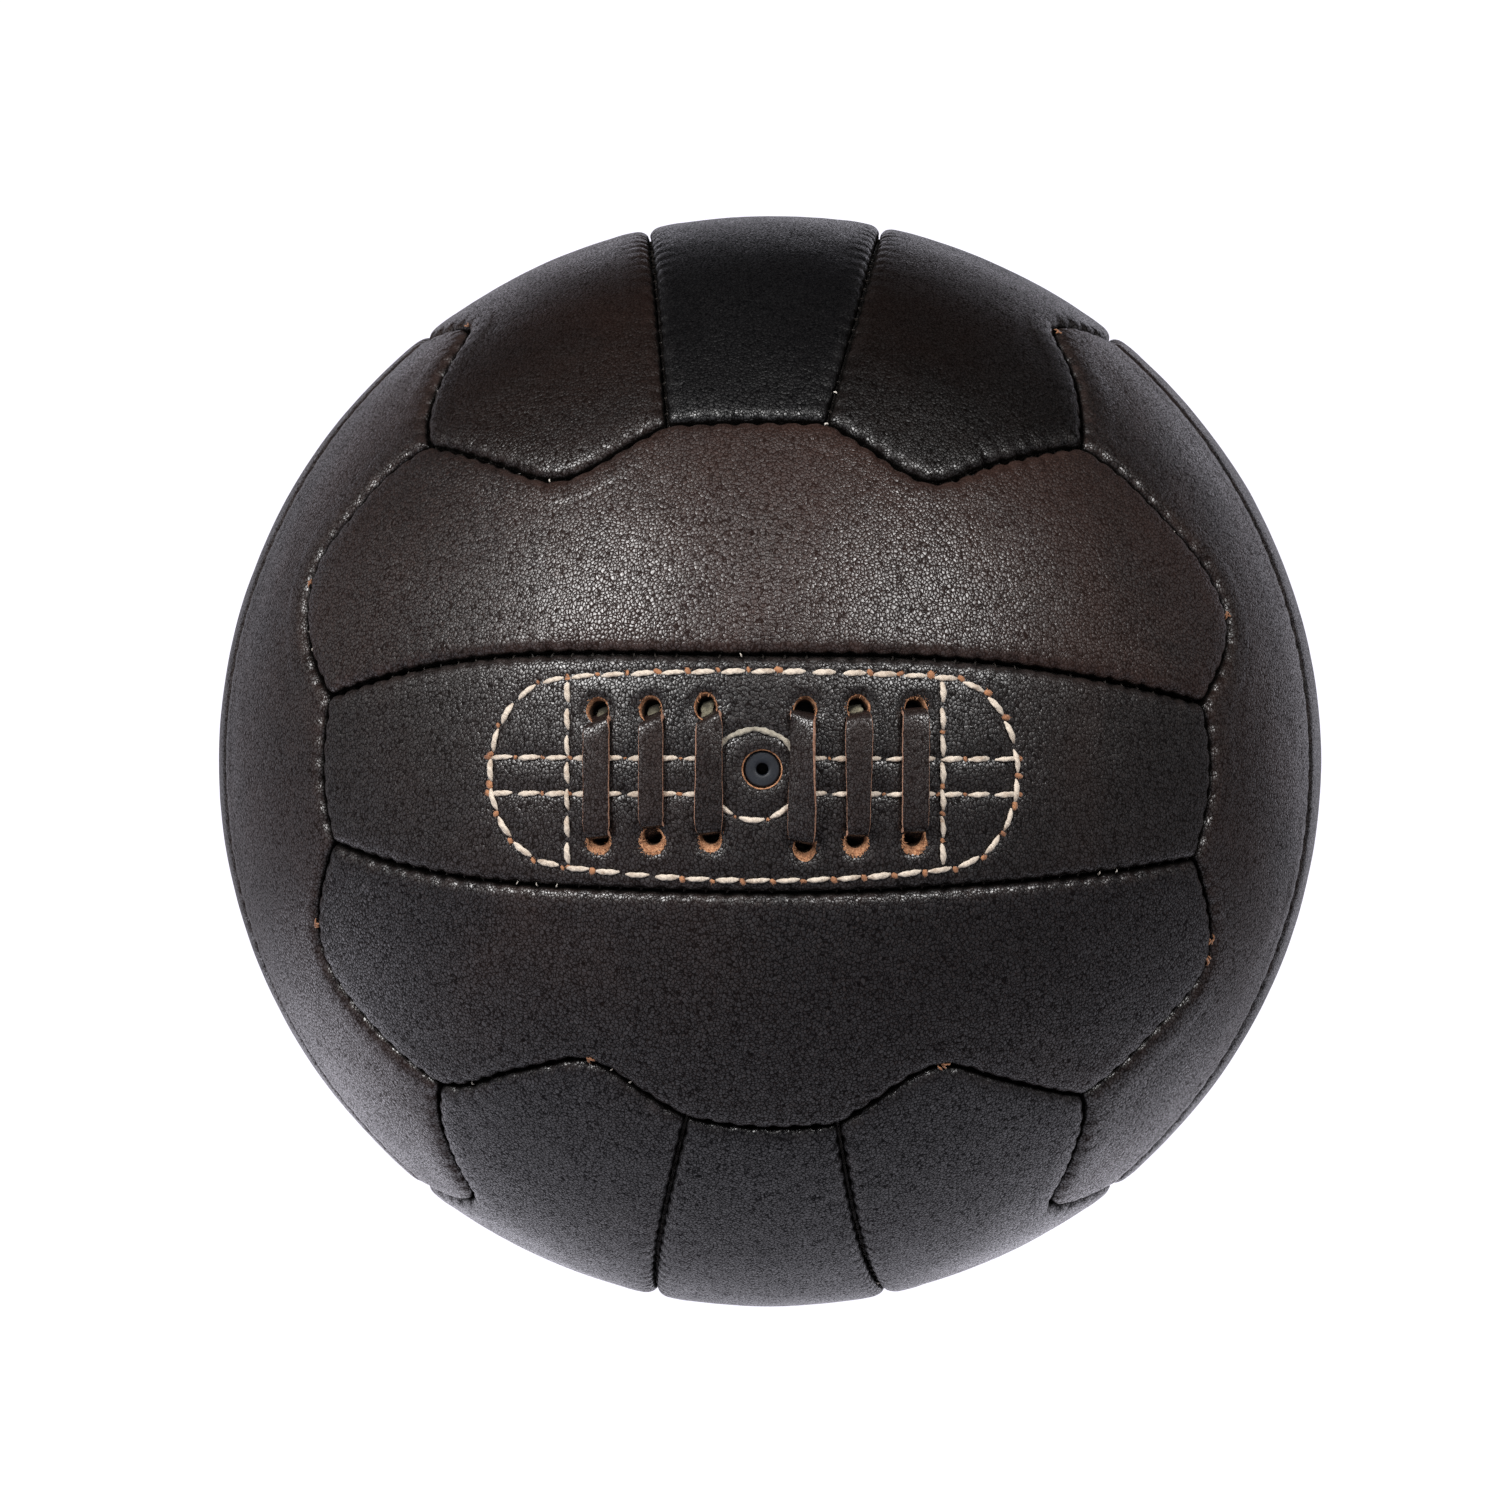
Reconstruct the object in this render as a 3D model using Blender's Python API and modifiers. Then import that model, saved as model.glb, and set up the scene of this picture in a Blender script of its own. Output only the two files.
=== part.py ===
# Laced leather ball, eighteen panels, with an air bladder and a pump valve.
#
# Frame: metres, +Z up, origin at the middle of the ball.  The laced strip
# faces -Y and runs along X; its lacing columns cross it along Z.
#
# The cover is six groups of three panels.  Each group belongs to one side of
# a cube drawn on the sphere: a narrow middle strip and a wide panel on either
# flank of it.  The strips of neighbouring groups run at right angles, and the
# ends of the wide panels bulge into the long edge of the next group.
import math

import bmesh
import bpy
from mathutils import Vector

# ---------------------------------------------------------------- dimensions
BALL_R = 0.110            # middle of the ball to the outside of the leather
LEATHER = 0.0020          # thickness of a leather panel
LINING = 0.0010           # thickness of the cotton backing
LINING_R = 0.1071         # outer face of the cotton backing
LINING_TRIM = 0.0062      # backing cut back from the seam line
GROOVE_DROP = 0.0017      # depth at which a panel edge turns into the seam
GROOVE_HALF = 0.00045     # half the gap between two edges at that depth
FLANGE_R = 0.1036         # lower end of the turned-in seam allowance
FLANGE_HALF = 0.0014      # half the gap between two flanges down there
ROLL_BACK = 0.0034        # where the rolled edge meets the full radius
THREAD_R = 0.1052         # radius at which the seam thread runs
THREAD_HALF = 0.00042     # half thickness of the seam thread

# Rings of a sheet, from its smooth area outwards: (inset from seam, radius)
LEATHER_RINGS = (
    (ROLL_BACK, BALL_R),
    (GROOVE_HALF, BALL_R - GROOVE_DROP),
    (FLANGE_HALF, FLANGE_R),
)
LINING_RINGS = ((LINING_TRIM, LINING_R),)

# Divisions along (a bulged edge, the short end of a strip)
LEATHER_STEPS = (5, 3)
LINING_STEPS = (3, 1)

STRIP_MID_DEG = 12.2      # half width of a strip at its middle
STRIP_END_DEG = 7.9       # half width of a strip at its end
STRIP_LON_DEG = 51.25     # where a strip ends, from its middle
SCALLOP_DEG = 7.6         # how far a wide panel bulges past a straight edge
SCALLOP_SKEW = 1.35       # shifts the peak of the bulge along the edge
END_BOW_DEG = 0.3         # how far the short end of a strip bows out

REST_Z = -0.10945         # flat contact patch under the ball
REST_HALF = 0.0095        # half width within which the patch is levelled

VALVE_X = 0.0013          # the valve sits a little off the middle of the
VALVE_Z = 0.0013          # stitched ring
VALVE_HOLE_R = 0.0041

# Hand-punched lace holes, one row per lacing column:
# (x, z) above the middle, (x, z) below the middle
LACE_HOLES = (
    ((-0.0305, 0.0124), (-0.0303, -0.0125)),
    ((-0.0202, 0.0127), (-0.0199, -0.0124)),
    ((-0.0096, 0.0133), (-0.0087, -0.0121)),
    ((0.0095, 0.0127), (0.0094, -0.0138)),
    ((0.0197, 0.0130), (0.0193, -0.0129)),
    ((0.0307, 0.0126), (0.0304, -0.0126)),
)
LACE_HOLE_R = 0.0026

# Each side of the cube: outward, along its strip, across its strip
AXES = {
    "front": (Vector((0, -1, 0)), Vector((1, 0, 0)), Vector((0, 0, 1))),
    "back": (Vector((0, 1, 0)), Vector((1, 0, 0)), Vector((0, 0, 1))),
    "right": (Vector((1, 0, 0)), Vector((0, 0, 1)), Vector((0, 1, 0))),
    "left": (Vector((-1, 0, 0)), Vector((0, 0, 1)), Vector((0, 1, 0))),
    "top": (Vector((0, 0, 1)), Vector((0, 1, 0)), Vector((1, 0, 0))),
    "bottom": (Vector((0, 0, -1)), Vector((0, 1, 0)), Vector((1, 0, 0))),
}

# The wide panels of each side: flank (sign across the strip), name, shade
LOWER_UPPER = ((-1, "lower", 1.0), (1, "upper", 0.85))
FORE_REAR = ((-1, "fore", 0.85), (1, "rear", 1.15))
LEFT_RIGHT = ((-1, "left", 0.85), (1, "right", 0.85))
FLANKS = {
    "front": LOWER_UPPER, "back": LOWER_UPPER,
    "right": FORE_REAR, "left": FORE_REAR,
    "top": LEFT_RIGHT, "bottom": LEFT_RIGHT,
}

# Colours, as linear RGB
LEATHER_TONES = {
    "front": (0.030, 0.018, 0.014), "back": (0.027, 0.018, 0.015),
    "right": (0.022, 0.016, 0.014), "left": (0.024, 0.016, 0.013),
    "top": (0.032, 0.020, 0.015), "bottom": (0.018, 0.016, 0.017),
}
COTTON = (0.55, 0.50, 0.40)
CREAM = (0.62, 0.56, 0.46)

# -------------------------------------------------------- hand-cut variations
# Shifts of junctions round the laced side, in degrees of longitude and
# latitude about that side.  Corners are keyed by the signs of (x, y, z),
# strip-end junctions by (side, end, flank).
CORNER_SHIFT = {
    (-1, -1, 1): (-2.27, 0.50), (1, -1, 1): (-0.30, 0.30),
    (-1, -1, -1): (0.56, 0.56), (1, -1, -1): (0.09, -0.79),
}
TEE_SHIFT = {
    ("front", -1, 1): (0.26, -0.26), ("front", -1, -1): (0.96, 0.39),
    ("front", 1, 1): (1.15, -0.95), ("front", 1, -1): (0.27, -1.27),
    ("top", -1, -1): (-1.96, 0.17), ("top", -1, 1): (-1.23, 0.49),
    ("bottom", -1, -1): (0.69, 0.07), ("bottom", -1, 1): (0.35, -0.94),
}
# Bulge that differs from the common one.
# (side, end, flank): (size in degrees, skew)
HAND_BULGE = {
    ("front", -1, 1): (9.3, 1.16), ("front", -1, -1): (8.0, 1.20),
    ("front", 1, 1): (9.4, 1.50), ("front", 1, -1): (8.1, 1.32),
    ("top", -1, -1): (6.8, 1.34), ("top", -1, 1): (7.1, 1.46),
    ("bottom", -1, -1): (6.9, 1.42), ("bottom", -1, 1): (7.4, 1.44),
    ("left", 1, -1): (5.8, 1.68), ("left", -1, -1): (6.2, 1.62),
    ("right", 1, -1): (6.6, 1.60), ("right", -1, -1): (6.8, 1.60),
}
# Extra outward bow of long strip edges, (side, flank): degrees
HAND_BOW = {
    ("front", 1): 1.5, ("front", -1): -0.6,
    ("top", -1): -0.6, ("top", 1): 0.4,
    ("bottom", -1): 0.2, ("bottom", 1): -0.2,
}
# Whole bow of short strip ends, (side, end): degrees
HAND_END_BOW = {
    ("front", -1): 0.8, ("front", 1): 1.2,
    ("top", -1): 0.2, ("bottom", -1): -0.5,
}

# ---------------------------------------------------------------------- scene
for old in list(bpy.data.objects):
    bpy.data.objects.remove(old, do_unlink=True)

ball_collection = bpy.data.collections.new("laced_leather_ball")
cutter_collection = bpy.data.collections.new("cutters")
bpy.context.scene.collection.children.link(ball_collection)
bpy.context.scene.collection.children.link(cutter_collection)

root = bpy.data.objects.new("laced_leather_ball", None)
ball_collection.objects.link(root)


# -------------------------------------------------------------- shared helpers
def finish(name, bm, smooth=True):
    """Turn a bmesh into an object of the ball."""
    mesh = bpy.data.meshes.new(name)
    bm.to_mesh(mesh)
    bm.free()
    for poly in mesh.polygons:
        poly.use_smooth = smooth
    ob = bpy.data.objects.new(name, mesh)
    ball_collection.objects.link(ob)
    ob.parent = root
    return ob


def thicken(ob, thickness, offset=-1.0, even=True):
    mod = ob.modifiers.new("thickness", "SOLIDIFY")
    mod.thickness = thickness
    mod.offset = offset
    mod.use_even_offset = even


def dress(ob, name, colour, roughness):
    """Give an object a new material of its own."""
    mat = bpy.data.materials.new(name)
    mat.use_nodes = True
    shader = mat.node_tree.nodes["Principled BSDF"]
    shader.inputs["Base Color"].default_value = (*colour, 1.0)
    shader.inputs["Roughness"].default_value = roughness
    ob.data.materials.append(mat)


def at(x, z, radius):
    """Point over the laced side above (x, z) measured on the leather."""
    return Vector((x, -math.sqrt(BALL_R ** 2 - x * x - z * z), z)).normalized() * radius


def between(start, stop, u):
    """(x, z) at fraction u of the way from start to stop."""
    return start[0] + (stop[0] - start[0]) * u, start[1] + (stop[1] - start[1]) * u


# ------------------------------------------------------------------ the seams
def on_side(side, lon, lat):
    out, along, across = AXES[side]
    a, b = math.radians(lon), math.radians(lat)
    return (out * (math.cos(a) * math.cos(b)) + along * (math.sin(a) * math.cos(b))
            + across * math.sin(b))


def shifted(direction, shift):
    """Move a junction by (longitude, latitude) about the laced side."""
    if shift is None:
        return direction
    lon = math.degrees(math.atan2(direction.x, -direction.y)) + shift[0]
    lat = math.degrees(math.asin(max(-1.0, min(1.0, direction.z)))) + shift[1]
    return on_side("front", lon, lat)


def corner(direction):
    """Three-panel corner near a corner of the cube."""
    signs = tuple(int(round(c)) for c in direction)
    return shifted(Vector(signs).normalized(), CORNER_SHIFT.get(signs))


def tee(side, end, flank):
    """Junction at one corner of a strip."""
    place = on_side(side, STRIP_LON_DEG * end, STRIP_END_DEG * flank)
    return shifted(place, TEE_SHIFT.get((side, end, flank)))


def bowed_arc(start, stop, count, lean, degrees, skew=1.0):
    """Great-circle arc bowed sideways, towards lean, by up to some degrees."""
    span = start.angle(stop)
    sideways = start.cross(stop).normalized()
    if sideways.dot(lean) < 0:
        sideways = -sideways
    points = []
    for k in range(count + 1):
        u = k / count
        base = (start * math.sin((1 - u) * span) + stop * math.sin(u * span)) / math.sin(span)
        a = math.radians(degrees * math.sin(math.pi * u ** skew))
        points.append((base * math.cos(a) + sideways * math.sin(a)).normalized())
    return points


def scallop(side, end, flank, count):
    """Bulged edge from the strip end to the three-panel corner."""
    out, along, across = AXES[side]
    size, skew = HAND_BULGE.get((side, end, flank), (SCALLOP_DEG, SCALLOP_SKEW))
    start = corner(out + along * end + across * flank)
    return bowed_arc(start, tee(side, end, flank), count, along * end, size, skew)[::-1]


def strip_end(side, end, count):
    along = AXES[side][1]
    bow = HAND_END_BOW.get((side, end), END_BOW_DEG)
    return bowed_arc(tee(side, end, -1), tee(side, end, 1), count, along * end, bow)


def long_seam(side, flank, count):
    """Seam between a strip and the wide panel on one flank."""
    across = AXES[side][2]
    # latitude at which an unbowed arc between the strip ends crosses the middle
    flat = math.degrees(math.atan(math.tan(math.radians(STRIP_END_DEG))
                                  / math.cos(math.radians(STRIP_LON_DEG))))
    bow = STRIP_MID_DEG - flat + HAND_BOW.get((side, flank), 0.0)
    return bowed_arc(tee(side, -1, flank), tee(side, 1, flank), count, across * flank, bow)


def far_edge(side, flank, scallop_steps, end_steps):
    """Long edge of a wide panel: the scalloped end of the next group."""
    out, along, across = AXES[side]
    other = next(k for k in AXES if AXES[k][0].dot(across * flank) > 0.9)
    end = 1 if AXES[other][1].dot(out) > 0 else -1
    turn = 1 if AXES[other][2].dot(along) > 0 else -1
    first = scallop(other, end, -turn, scallop_steps)[::-1]
    middle = strip_end(other, end, end_steps)
    if turn < 0:
        middle = middle[::-1]
    last = scallop(other, end, turn, scallop_steps)
    return first + middle[1:] + last[1:]


# Both return the (bottom, top, left, right) seam curves of a sheet.
def wide_edges(side, flank, steps):
    scallop_steps, end_steps = steps
    return (long_seam(side, flank, 2 * scallop_steps + end_steps),
            far_edge(side, flank, scallop_steps, end_steps),
            scallop(side, -1, flank, scallop_steps),
            scallop(side, 1, flank, scallop_steps))


def strip_edges(side, steps):
    scallop_steps, end_steps = steps
    long_steps = 2 * scallop_steps + end_steps
    return (long_seam(side, -1, long_steps), long_seam(side, 1, long_steps),
            strip_end(side, -1, end_steps), strip_end(side, 1, end_steps))


# ----------------------------------------------------------------- the sheets
def inset_directions(loop):
    """Mitred inset of every point of a closed loop on the sphere."""
    middle = sum(loop, Vector()).normalized()
    swept = sum((loop[k - 1].cross(loop[k]) for k in range(len(loop))), Vector())
    turn = 1.0 if swept.dot(middle) > 0 else -1.0
    result = []
    for k, here in enumerate(loop):
        before = loop[k - 1].cross(here).normalized() * turn
        after = here.cross(loop[(k + 1) % len(loop)]).normalized() * turn
        mitre = (before + after) / (1.0 + max(-0.5, before.dot(after)))
        mitre -= here * mitre.dot(here)
        result.append(mitre)
    return result


def grid_border(edges):
    """Seam points by grid place, and their insets in order round the grid."""
    bottom, top, left, right = edges
    nx, ny = len(bottom) - 1, len(left) - 1
    border = {}
    for i in range(nx + 1):
        border[(i, 0)] = bottom[i]
        border[(i, ny)] = top[i]
    for j in range(ny + 1):
        border[(0, j)] = left[j]
        border[(nx, j)] = right[j]
    order = [(i, 0) for i in range(nx)] + [(nx, j) for j in range(ny)]
    order += [(i, ny) for i in range(nx, 0, -1)] + [(0, j) for j in range(ny, 0, -1)]
    mitres = dict(zip(order, inset_directions([border[k] for k in order])))
    return border, mitres


def sheet(name, edges, rings, thickness, outward, level=None):
    """A grid stretched between four seam curves.

    The first of the rings is the border of the smooth grid, the others are
    turned in round it.  A level flattens the middle of the sheet to that z.
    """
    bottom, top, left, _ = edges
    nx, ny = len(bottom) - 1, len(left) - 1
    border, mitres = grid_border(edges)

    def ring_point(key, inset, radius):
        return (border[key] * BALL_R + mitres[key] * inset).normalized() * radius

    edge = {k: ring_point(k, rings[0][0], 1.0) for k in mitres}

    def inside(i, j):
        """Blend of the four borders, put back on the sphere."""
        u, v = i / nx, j / ny
        point = (edge[(i, 0)] * (1 - v) + edge[(i, ny)] * v
                 + edge[(0, j)] * (1 - u) + edge[(nx, j)] * u
                 - edge[(0, 0)] * (1 - u) * (1 - v) - edge[(nx, 0)] * u * (1 - v)
                 - edge[(0, ny)] * (1 - u) * v - edge[(nx, ny)] * u * v)
        return point.normalized() * rings[0][1]

    extra = len(rings) - 1
    grid_x, grid_y = nx + 2 * extra, ny + 2 * extra
    bm = bmesh.new()
    bmesh.ops.create_grid(bm, x_segments=grid_x, y_segments=grid_y, size=0.5)
    # mirror the grid where needed, so that its faces point outwards
    upward = top[nx // 2] - bottom[nx // 2]
    flip = (bottom[-1] - bottom[0]).cross(upward).dot(outward) < 0
    for v in bm.verts:
        i = round((v.co.x + 0.5) * grid_x) - extra
        j = round((v.co.y + 0.5) * grid_y) - extra
        if flip:
            i = nx - i
        depth = max(0, -i, i - nx, -j, j - ny)
        key = (min(max(i, 0), nx), min(max(j, 0), ny))
        if depth:
            v.co = ring_point(key, *rings[depth])
            continue
        v.co = inside(*key)
        if level is not None and abs(v.co.x) < REST_HALF and abs(v.co.y) < REST_HALF:
            v.co.z = level
    # each turned-in corner is a block of coincident points
    bmesh.ops.remove_doubles(bm, verts=bm.verts, dist=0.00002)
    ob = finish(name, bm)
    thicken(ob, thickness)
    return ob


# ----------------------------------------------------------- leather and lining
seam_loops = []           # (seam point, inset) pairs round each leather panel


def leather_piece(name, edges, outward, colour, level=None):
    ob = sheet(name, edges, LEATHER_RINGS, LEATHER, outward, level)
    dress(ob, name + "_leather", colour, roughness=0.42)
    border, mitres = grid_border(edges)
    seam_loops.append([(border[k], mitres[k]) for k in mitres])
    return ob


def lining_piece(name, edges, outward):
    ob = sheet(name, edges, LINING_RINGS, LINING, outward)
    dress(ob, name + "_cotton", COTTON, roughness=0.9)


strips = {}
for side, (outward, _, _) in AXES.items():
    tone = LEATHER_TONES[side]
    for flank, word, shade in FLANKS[side]:
        name = side + "_" + word
        leather_piece(name + "_panel", wide_edges(side, flank, LEATHER_STEPS), outward,
                      [c * shade for c in tone])
        lining_piece(name + "_lining", wide_edges(side, flank, LINING_STEPS), outward)
    strips[side] = leather_piece(side + "_centre_strip", strip_edges(side, LEATHER_STEPS),
                                 outward, tone, level=REST_Z if side == "bottom" else None)
    # the laced strip has a reinforcement patch instead of a lining
    if side != "front":
        lining_piece(side + "_strip_lining", strip_edges(side, LINING_STEPS), outward)

# ------------------------------------------- holes and reinforcement of the strip
PATCH_R = 0.1075          # outer face of the reinforcement behind the strip
PATCH_THICK = 0.0014
PATCH_HALF_X = 0.0560
PATCH_HALF_Z = 0.0188
PATCH_HOLE_EXTRA = 0.0003  # patch holes are wider in radius than the strip's
PATCH_CUTTER_Y = -0.104   # middle of the block that trims the patch
PATCH_CUTTER_DEPTH = 0.03
ROD_INNER, ROD_OUTER = 0.090, 0.118   # radii between which hole cutters reach


def cutter(name, bm):
    mesh = bpy.data.meshes.new(name)
    bmesh.ops.recalc_face_normals(bm, faces=bm.faces)
    bm.to_mesh(mesh)
    bm.free()
    ob = bpy.data.objects.new(name, mesh)
    cutter_collection.objects.link(ob)
    ob.hide_render = True
    ob.display_type = "WIRE"
    return ob


def hole_cutter(name, rows):
    """Tapered rods through the laced side, one per (x, z, radius), pointing
    at the middle of the ball."""
    bm = bmesh.new()
    for x, z, radius in rows:
        made = bmesh.ops.create_cone(bm, cap_ends=True, segments=10,
                                     radius1=radius * ROD_INNER / BALL_R,
                                     radius2=radius * ROD_OUTER / BALL_R,
                                     depth=ROD_OUTER - ROD_INNER)
        outward = at(x, z, 1.0)
        turn = Vector((0, 0, 1)).rotation_difference(outward).to_matrix()
        for v in made["verts"]:
            v.co = turn @ v.co + outward * (ROD_INNER + ROD_OUTER) / 2
    return cutter(name, bm)


def patch_outline_cutter():
    """Block with half-round ends, across the laced side."""
    bm = bmesh.new()
    bmesh.ops.create_cone(bm, cap_ends=True, segments=32, radius1=1.0, radius2=1.0,
                          depth=PATCH_CUTTER_DEPTH)
    for v in bm.verts:
        x, y, z = v.co
        # pull the two halves of the cylinder apart along X
        slide = math.copysign(PATCH_HALF_X - PATCH_HALF_Z, x) if abs(x) > 1e-6 else 0.0
        v.co = Vector((x * PATCH_HALF_Z + slide, PATCH_CUTTER_Y - z, y * PATCH_HALF_Z))
    return cutter("patch_outline_cutter", bm)


def cut(ob, tool, operation="DIFFERENCE"):
    mod = ob.modifiers.new("cut", "BOOLEAN")
    mod.operation = operation
    mod.solver = "EXACT"
    mod.object = tool


holes = [(x, z, LACE_HOLE_R) for column in LACE_HOLES for x, z in column]
holes.append((VALVE_X, VALVE_Z, VALVE_HOLE_R))
cut(strips["front"], hole_cutter("strip_hole_cutters", holes))

patch = sheet("lacing_reinforcement_patch", strip_edges("front", LEATHER_STEPS),
              ((ROLL_BACK, PATCH_R),), PATCH_THICK, AXES["front"][0])
dress(patch, "patch_leather", (0.30, 0.19, 0.11), roughness=0.75)
cut(patch, patch_outline_cutter(), "INTERSECT")
cut(patch, hole_cutter("patch_hole_cutters",
                       [(x, z, radius + PATCH_HOLE_EXTRA) for x, z, radius in holes]))


# ------------------------------------------------------------ turned rubber parts
def turned(name, profile, steps, closed=True,
           rotation=(math.pi / 2, 0.0, 0.0), location=(0.0, 0.0, 0.0)):
    """Revolve an outline of (radius, height) points round local Z, which the
    rotation points at the laced side."""
    bm = bmesh.new()
    verts = [bm.verts.new((radius, 0.0, height)) for radius, height in profile]
    for a, b in zip(verts, verts[1:]):
        bm.edges.new((a, b))
    if closed:
        bm.edges.new((verts[-1], verts[0]))
    ob = finish(name, bm)
    mod = ob.modifiers.new("turn", "SCREW")
    mod.axis = "Z"
    mod.angle = 2 * math.pi
    mod.steps = steps
    mod.render_steps = steps
    mod.use_merge_vertices = True
    mod.merge_threshold = 0.00001
    mod.use_normal_calculate = False
    ob.rotation_euler = rotation
    ob.location = location
    return ob


BLADDER_R = 0.1028        # outside of the rubber bladder
BLADDER_WALL = 0.0012
BLADDER_MOUTH = 0.0044    # radius of the opening the valve stem passes
BLADDER_SECOND = math.radians(6.0)    # first profile point after the mouth
BLADDER_STEPS = 11        # divisions from there to the far pole


def air_bladder():
    """One skin from the mouth to the far pole, thickened inwards."""
    profile = [(BLADDER_MOUTH, math.sqrt(BLADDER_R ** 2 - BLADDER_MOUTH ** 2))]
    for k in range(BLADDER_STEPS):
        a = BLADDER_SECOND + (math.pi - BLADDER_SECOND) * k / BLADDER_STEPS
        profile.append((BLADDER_R * math.sin(a), BLADDER_R * math.cos(a)))
    profile.append((0.0, -BLADDER_R))
    # the mouth of the bladder faces the valve
    facing = (math.pi / 2 - VALVE_Z / BALL_R, 0.0, VALVE_X / BALL_R)
    ob = turned("air_bladder", profile, 20, closed=False, rotation=facing)
    thicken(ob, BLADDER_WALL, even=False)
    dress(ob, "bladder_rubber", (0.05, 0.045, 0.04), roughness=0.6)


VALVE_PLACE = (VALVE_X, 0.0, VALVE_Z)
STEM_R, STEM_TOP, BORE_R = 0.0036, 0.1079, 0.0024
BASE_TOP, BASE_LOW, BASE_R = 0.1006, 0.0994, 0.0085    # flange below the stem


def valve_housing():
    ob = turned("valve_housing", [
        (BORE_R, STEM_TOP),
        (STEM_R, STEM_TOP),
        (STEM_R, BASE_TOP + 0.0006),        # chamfer between stem and flange
        (STEM_R + 0.0005, BASE_TOP),
        (BASE_R, BASE_TOP - 0.0003),
        (BASE_R, BASE_LOW),
        (BORE_R, BASE_LOW),
    ], 24, location=VALVE_PLACE)
    dress(ob, "housing_rubber", (0.04, 0.04, 0.045), roughness=0.55)


HEAD_R, HEAD_TOP = 0.0034, 0.1094
HEAD_LOW = STEM_TOP + 0.0003      # the head stands just clear of the stem
HEAD_CHAMFER = 0.0004
SHANK_R, SHANK_LOW, SHANK_CHAMFER = 0.0020, 0.0985, 0.0006
NEEDLE_R = 0.0012         # radius of the needle hole just below its rim


def valve_core():
    ob = turned("valve_core", [
        (0.0, 0.1010),                      # blind end of the needle hole
        (NEEDLE_R * 0.6, 0.1012),
        (NEEDLE_R * 0.7, 0.1072),
        (NEEDLE_R, HEAD_TOP - 0.0006),      # flared rim
        (NEEDLE_R + 0.0003, HEAD_TOP),
        (HEAD_R - HEAD_CHAMFER, HEAD_TOP),
        (HEAD_R, HEAD_TOP - HEAD_CHAMFER),
        (HEAD_R, HEAD_LOW),
        (SHANK_R, HEAD_LOW),
        (SHANK_R, SHANK_LOW + SHANK_CHAMFER),
        (SHANK_R - SHANK_CHAMFER, SHANK_LOW),
        (0.0, SHANK_LOW),
    ], 18, closed=False, location=VALVE_PLACE)
    dress(ob, "valve_core_rubber", (0.05, 0.06, 0.08), roughness=0.5)


air_bladder()
valve_housing()
valve_core()

# -------------------------------------------------------------------- the lace
LACE_WIDE = 0.0056        # width of the thong on top of the leather
LACE_NARROW = 0.0039      # width where it is drawn through a hole
LACE_LANDING = LACE_NARROW + 0.0006   # width where it meets the leather
LACE_THICK = 0.0013
LACE_TOP_R = BALL_R + 0.00185
LACE_IN_R = 0.1044
LACE_HOLE_RADII = (0.1066, 0.1086, LACE_TOP_R - 0.0006)   # stations in a hole
LACE_TOP_STEPS = 4        # divisions over the leather
TOP_GAP, RUN_GAP = 0.05, 0.06     # part of a run left free at each end
TAIL_X, TAIL_DROP = 0.007, 0.012  # reach of the loose ends from their holes


# Lace stations are (point, kind, width).
def column_stations(first, last):
    """Out through the hole first, over the leather, in through the hole last."""
    rise = [(at(*first, radius), "column", LACE_NARROW) for radius in LACE_HOLE_RADII]
    over = []
    for k in range(LACE_TOP_STEPS + 1):
        place = between(first, last, TOP_GAP + (1 - 2 * TOP_GAP) * k / LACE_TOP_STEPS)
        width = LACE_WIDE if 0 < k < LACE_TOP_STEPS else LACE_LANDING
        over.append((at(*place, LACE_TOP_R), "column", width))
    sink = [(at(*last, radius), "column", LACE_NARROW) for radius in LACE_HOLE_RADII[::-1]]
    return rise + over + sink


def inner_run(start, stop, steps):
    """Inside run of the lace from below one place to below another."""
    places = [between(start, stop, RUN_GAP + (1 - 2 * RUN_GAP) * k / steps)
              for k in range(steps + 1)]
    return [(at(*place, LACE_IN_R), "run", LACE_NARROW) for place in places]


def lace_stations():
    # the three left columns are laced downwards, the three right ones upwards
    passes = [column if k < 3 else column[::-1] for k, column in enumerate(LACE_HOLES)]
    upper_left, upper_right = passes[0][0], passes[-1][1]
    left_tail = (upper_left[0] - TAIL_X, upper_left[1] - TAIL_DROP)
    right_tail = (upper_right[0] + TAIL_X, upper_right[1] - TAIL_DROP)
    stations = inner_run(left_tail, upper_left, 3)
    for k, (first, last) in enumerate(passes):
        stations += column_stations(first, last)
        if k + 1 < len(passes):
            # the run between the two middle columns has one more division
            stations += inner_run(last, passes[k + 1][0], 5 if k == 2 else 4)
    return stations + inner_run(upper_right, right_tail, 3)


def lace_sideways(stations):
    """Direction of the thong's width at each station."""
    points = [point for point, _, _ in stations]
    sideways = []
    previous = Vector((1, 0, 0))
    for k, (point, kind, _) in enumerate(stations):
        if kind == "run":
            ahead = points[min(k + 1, len(points) - 1)] - points[max(k - 1, 0)]
            direction = ahead.cross(point).normalized()
        else:
            up = point.normalized()
            direction = (Vector((1, 0, 0)) - up * up.x).normalized()
        if direction.dot(previous) < 0:
            direction = -direction
        sideways.append(direction)
        previous = direction
    # ease the turns of the thong between a hole and the run behind it
    eased = []
    for k, direction in enumerate(sideways):
        total = direction * 2.0
        for near in (k - 1, k + 1):
            if 0 <= near < len(sideways):
                total += sideways[near]
        eased.append(total.normalized())
    return eased


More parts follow.
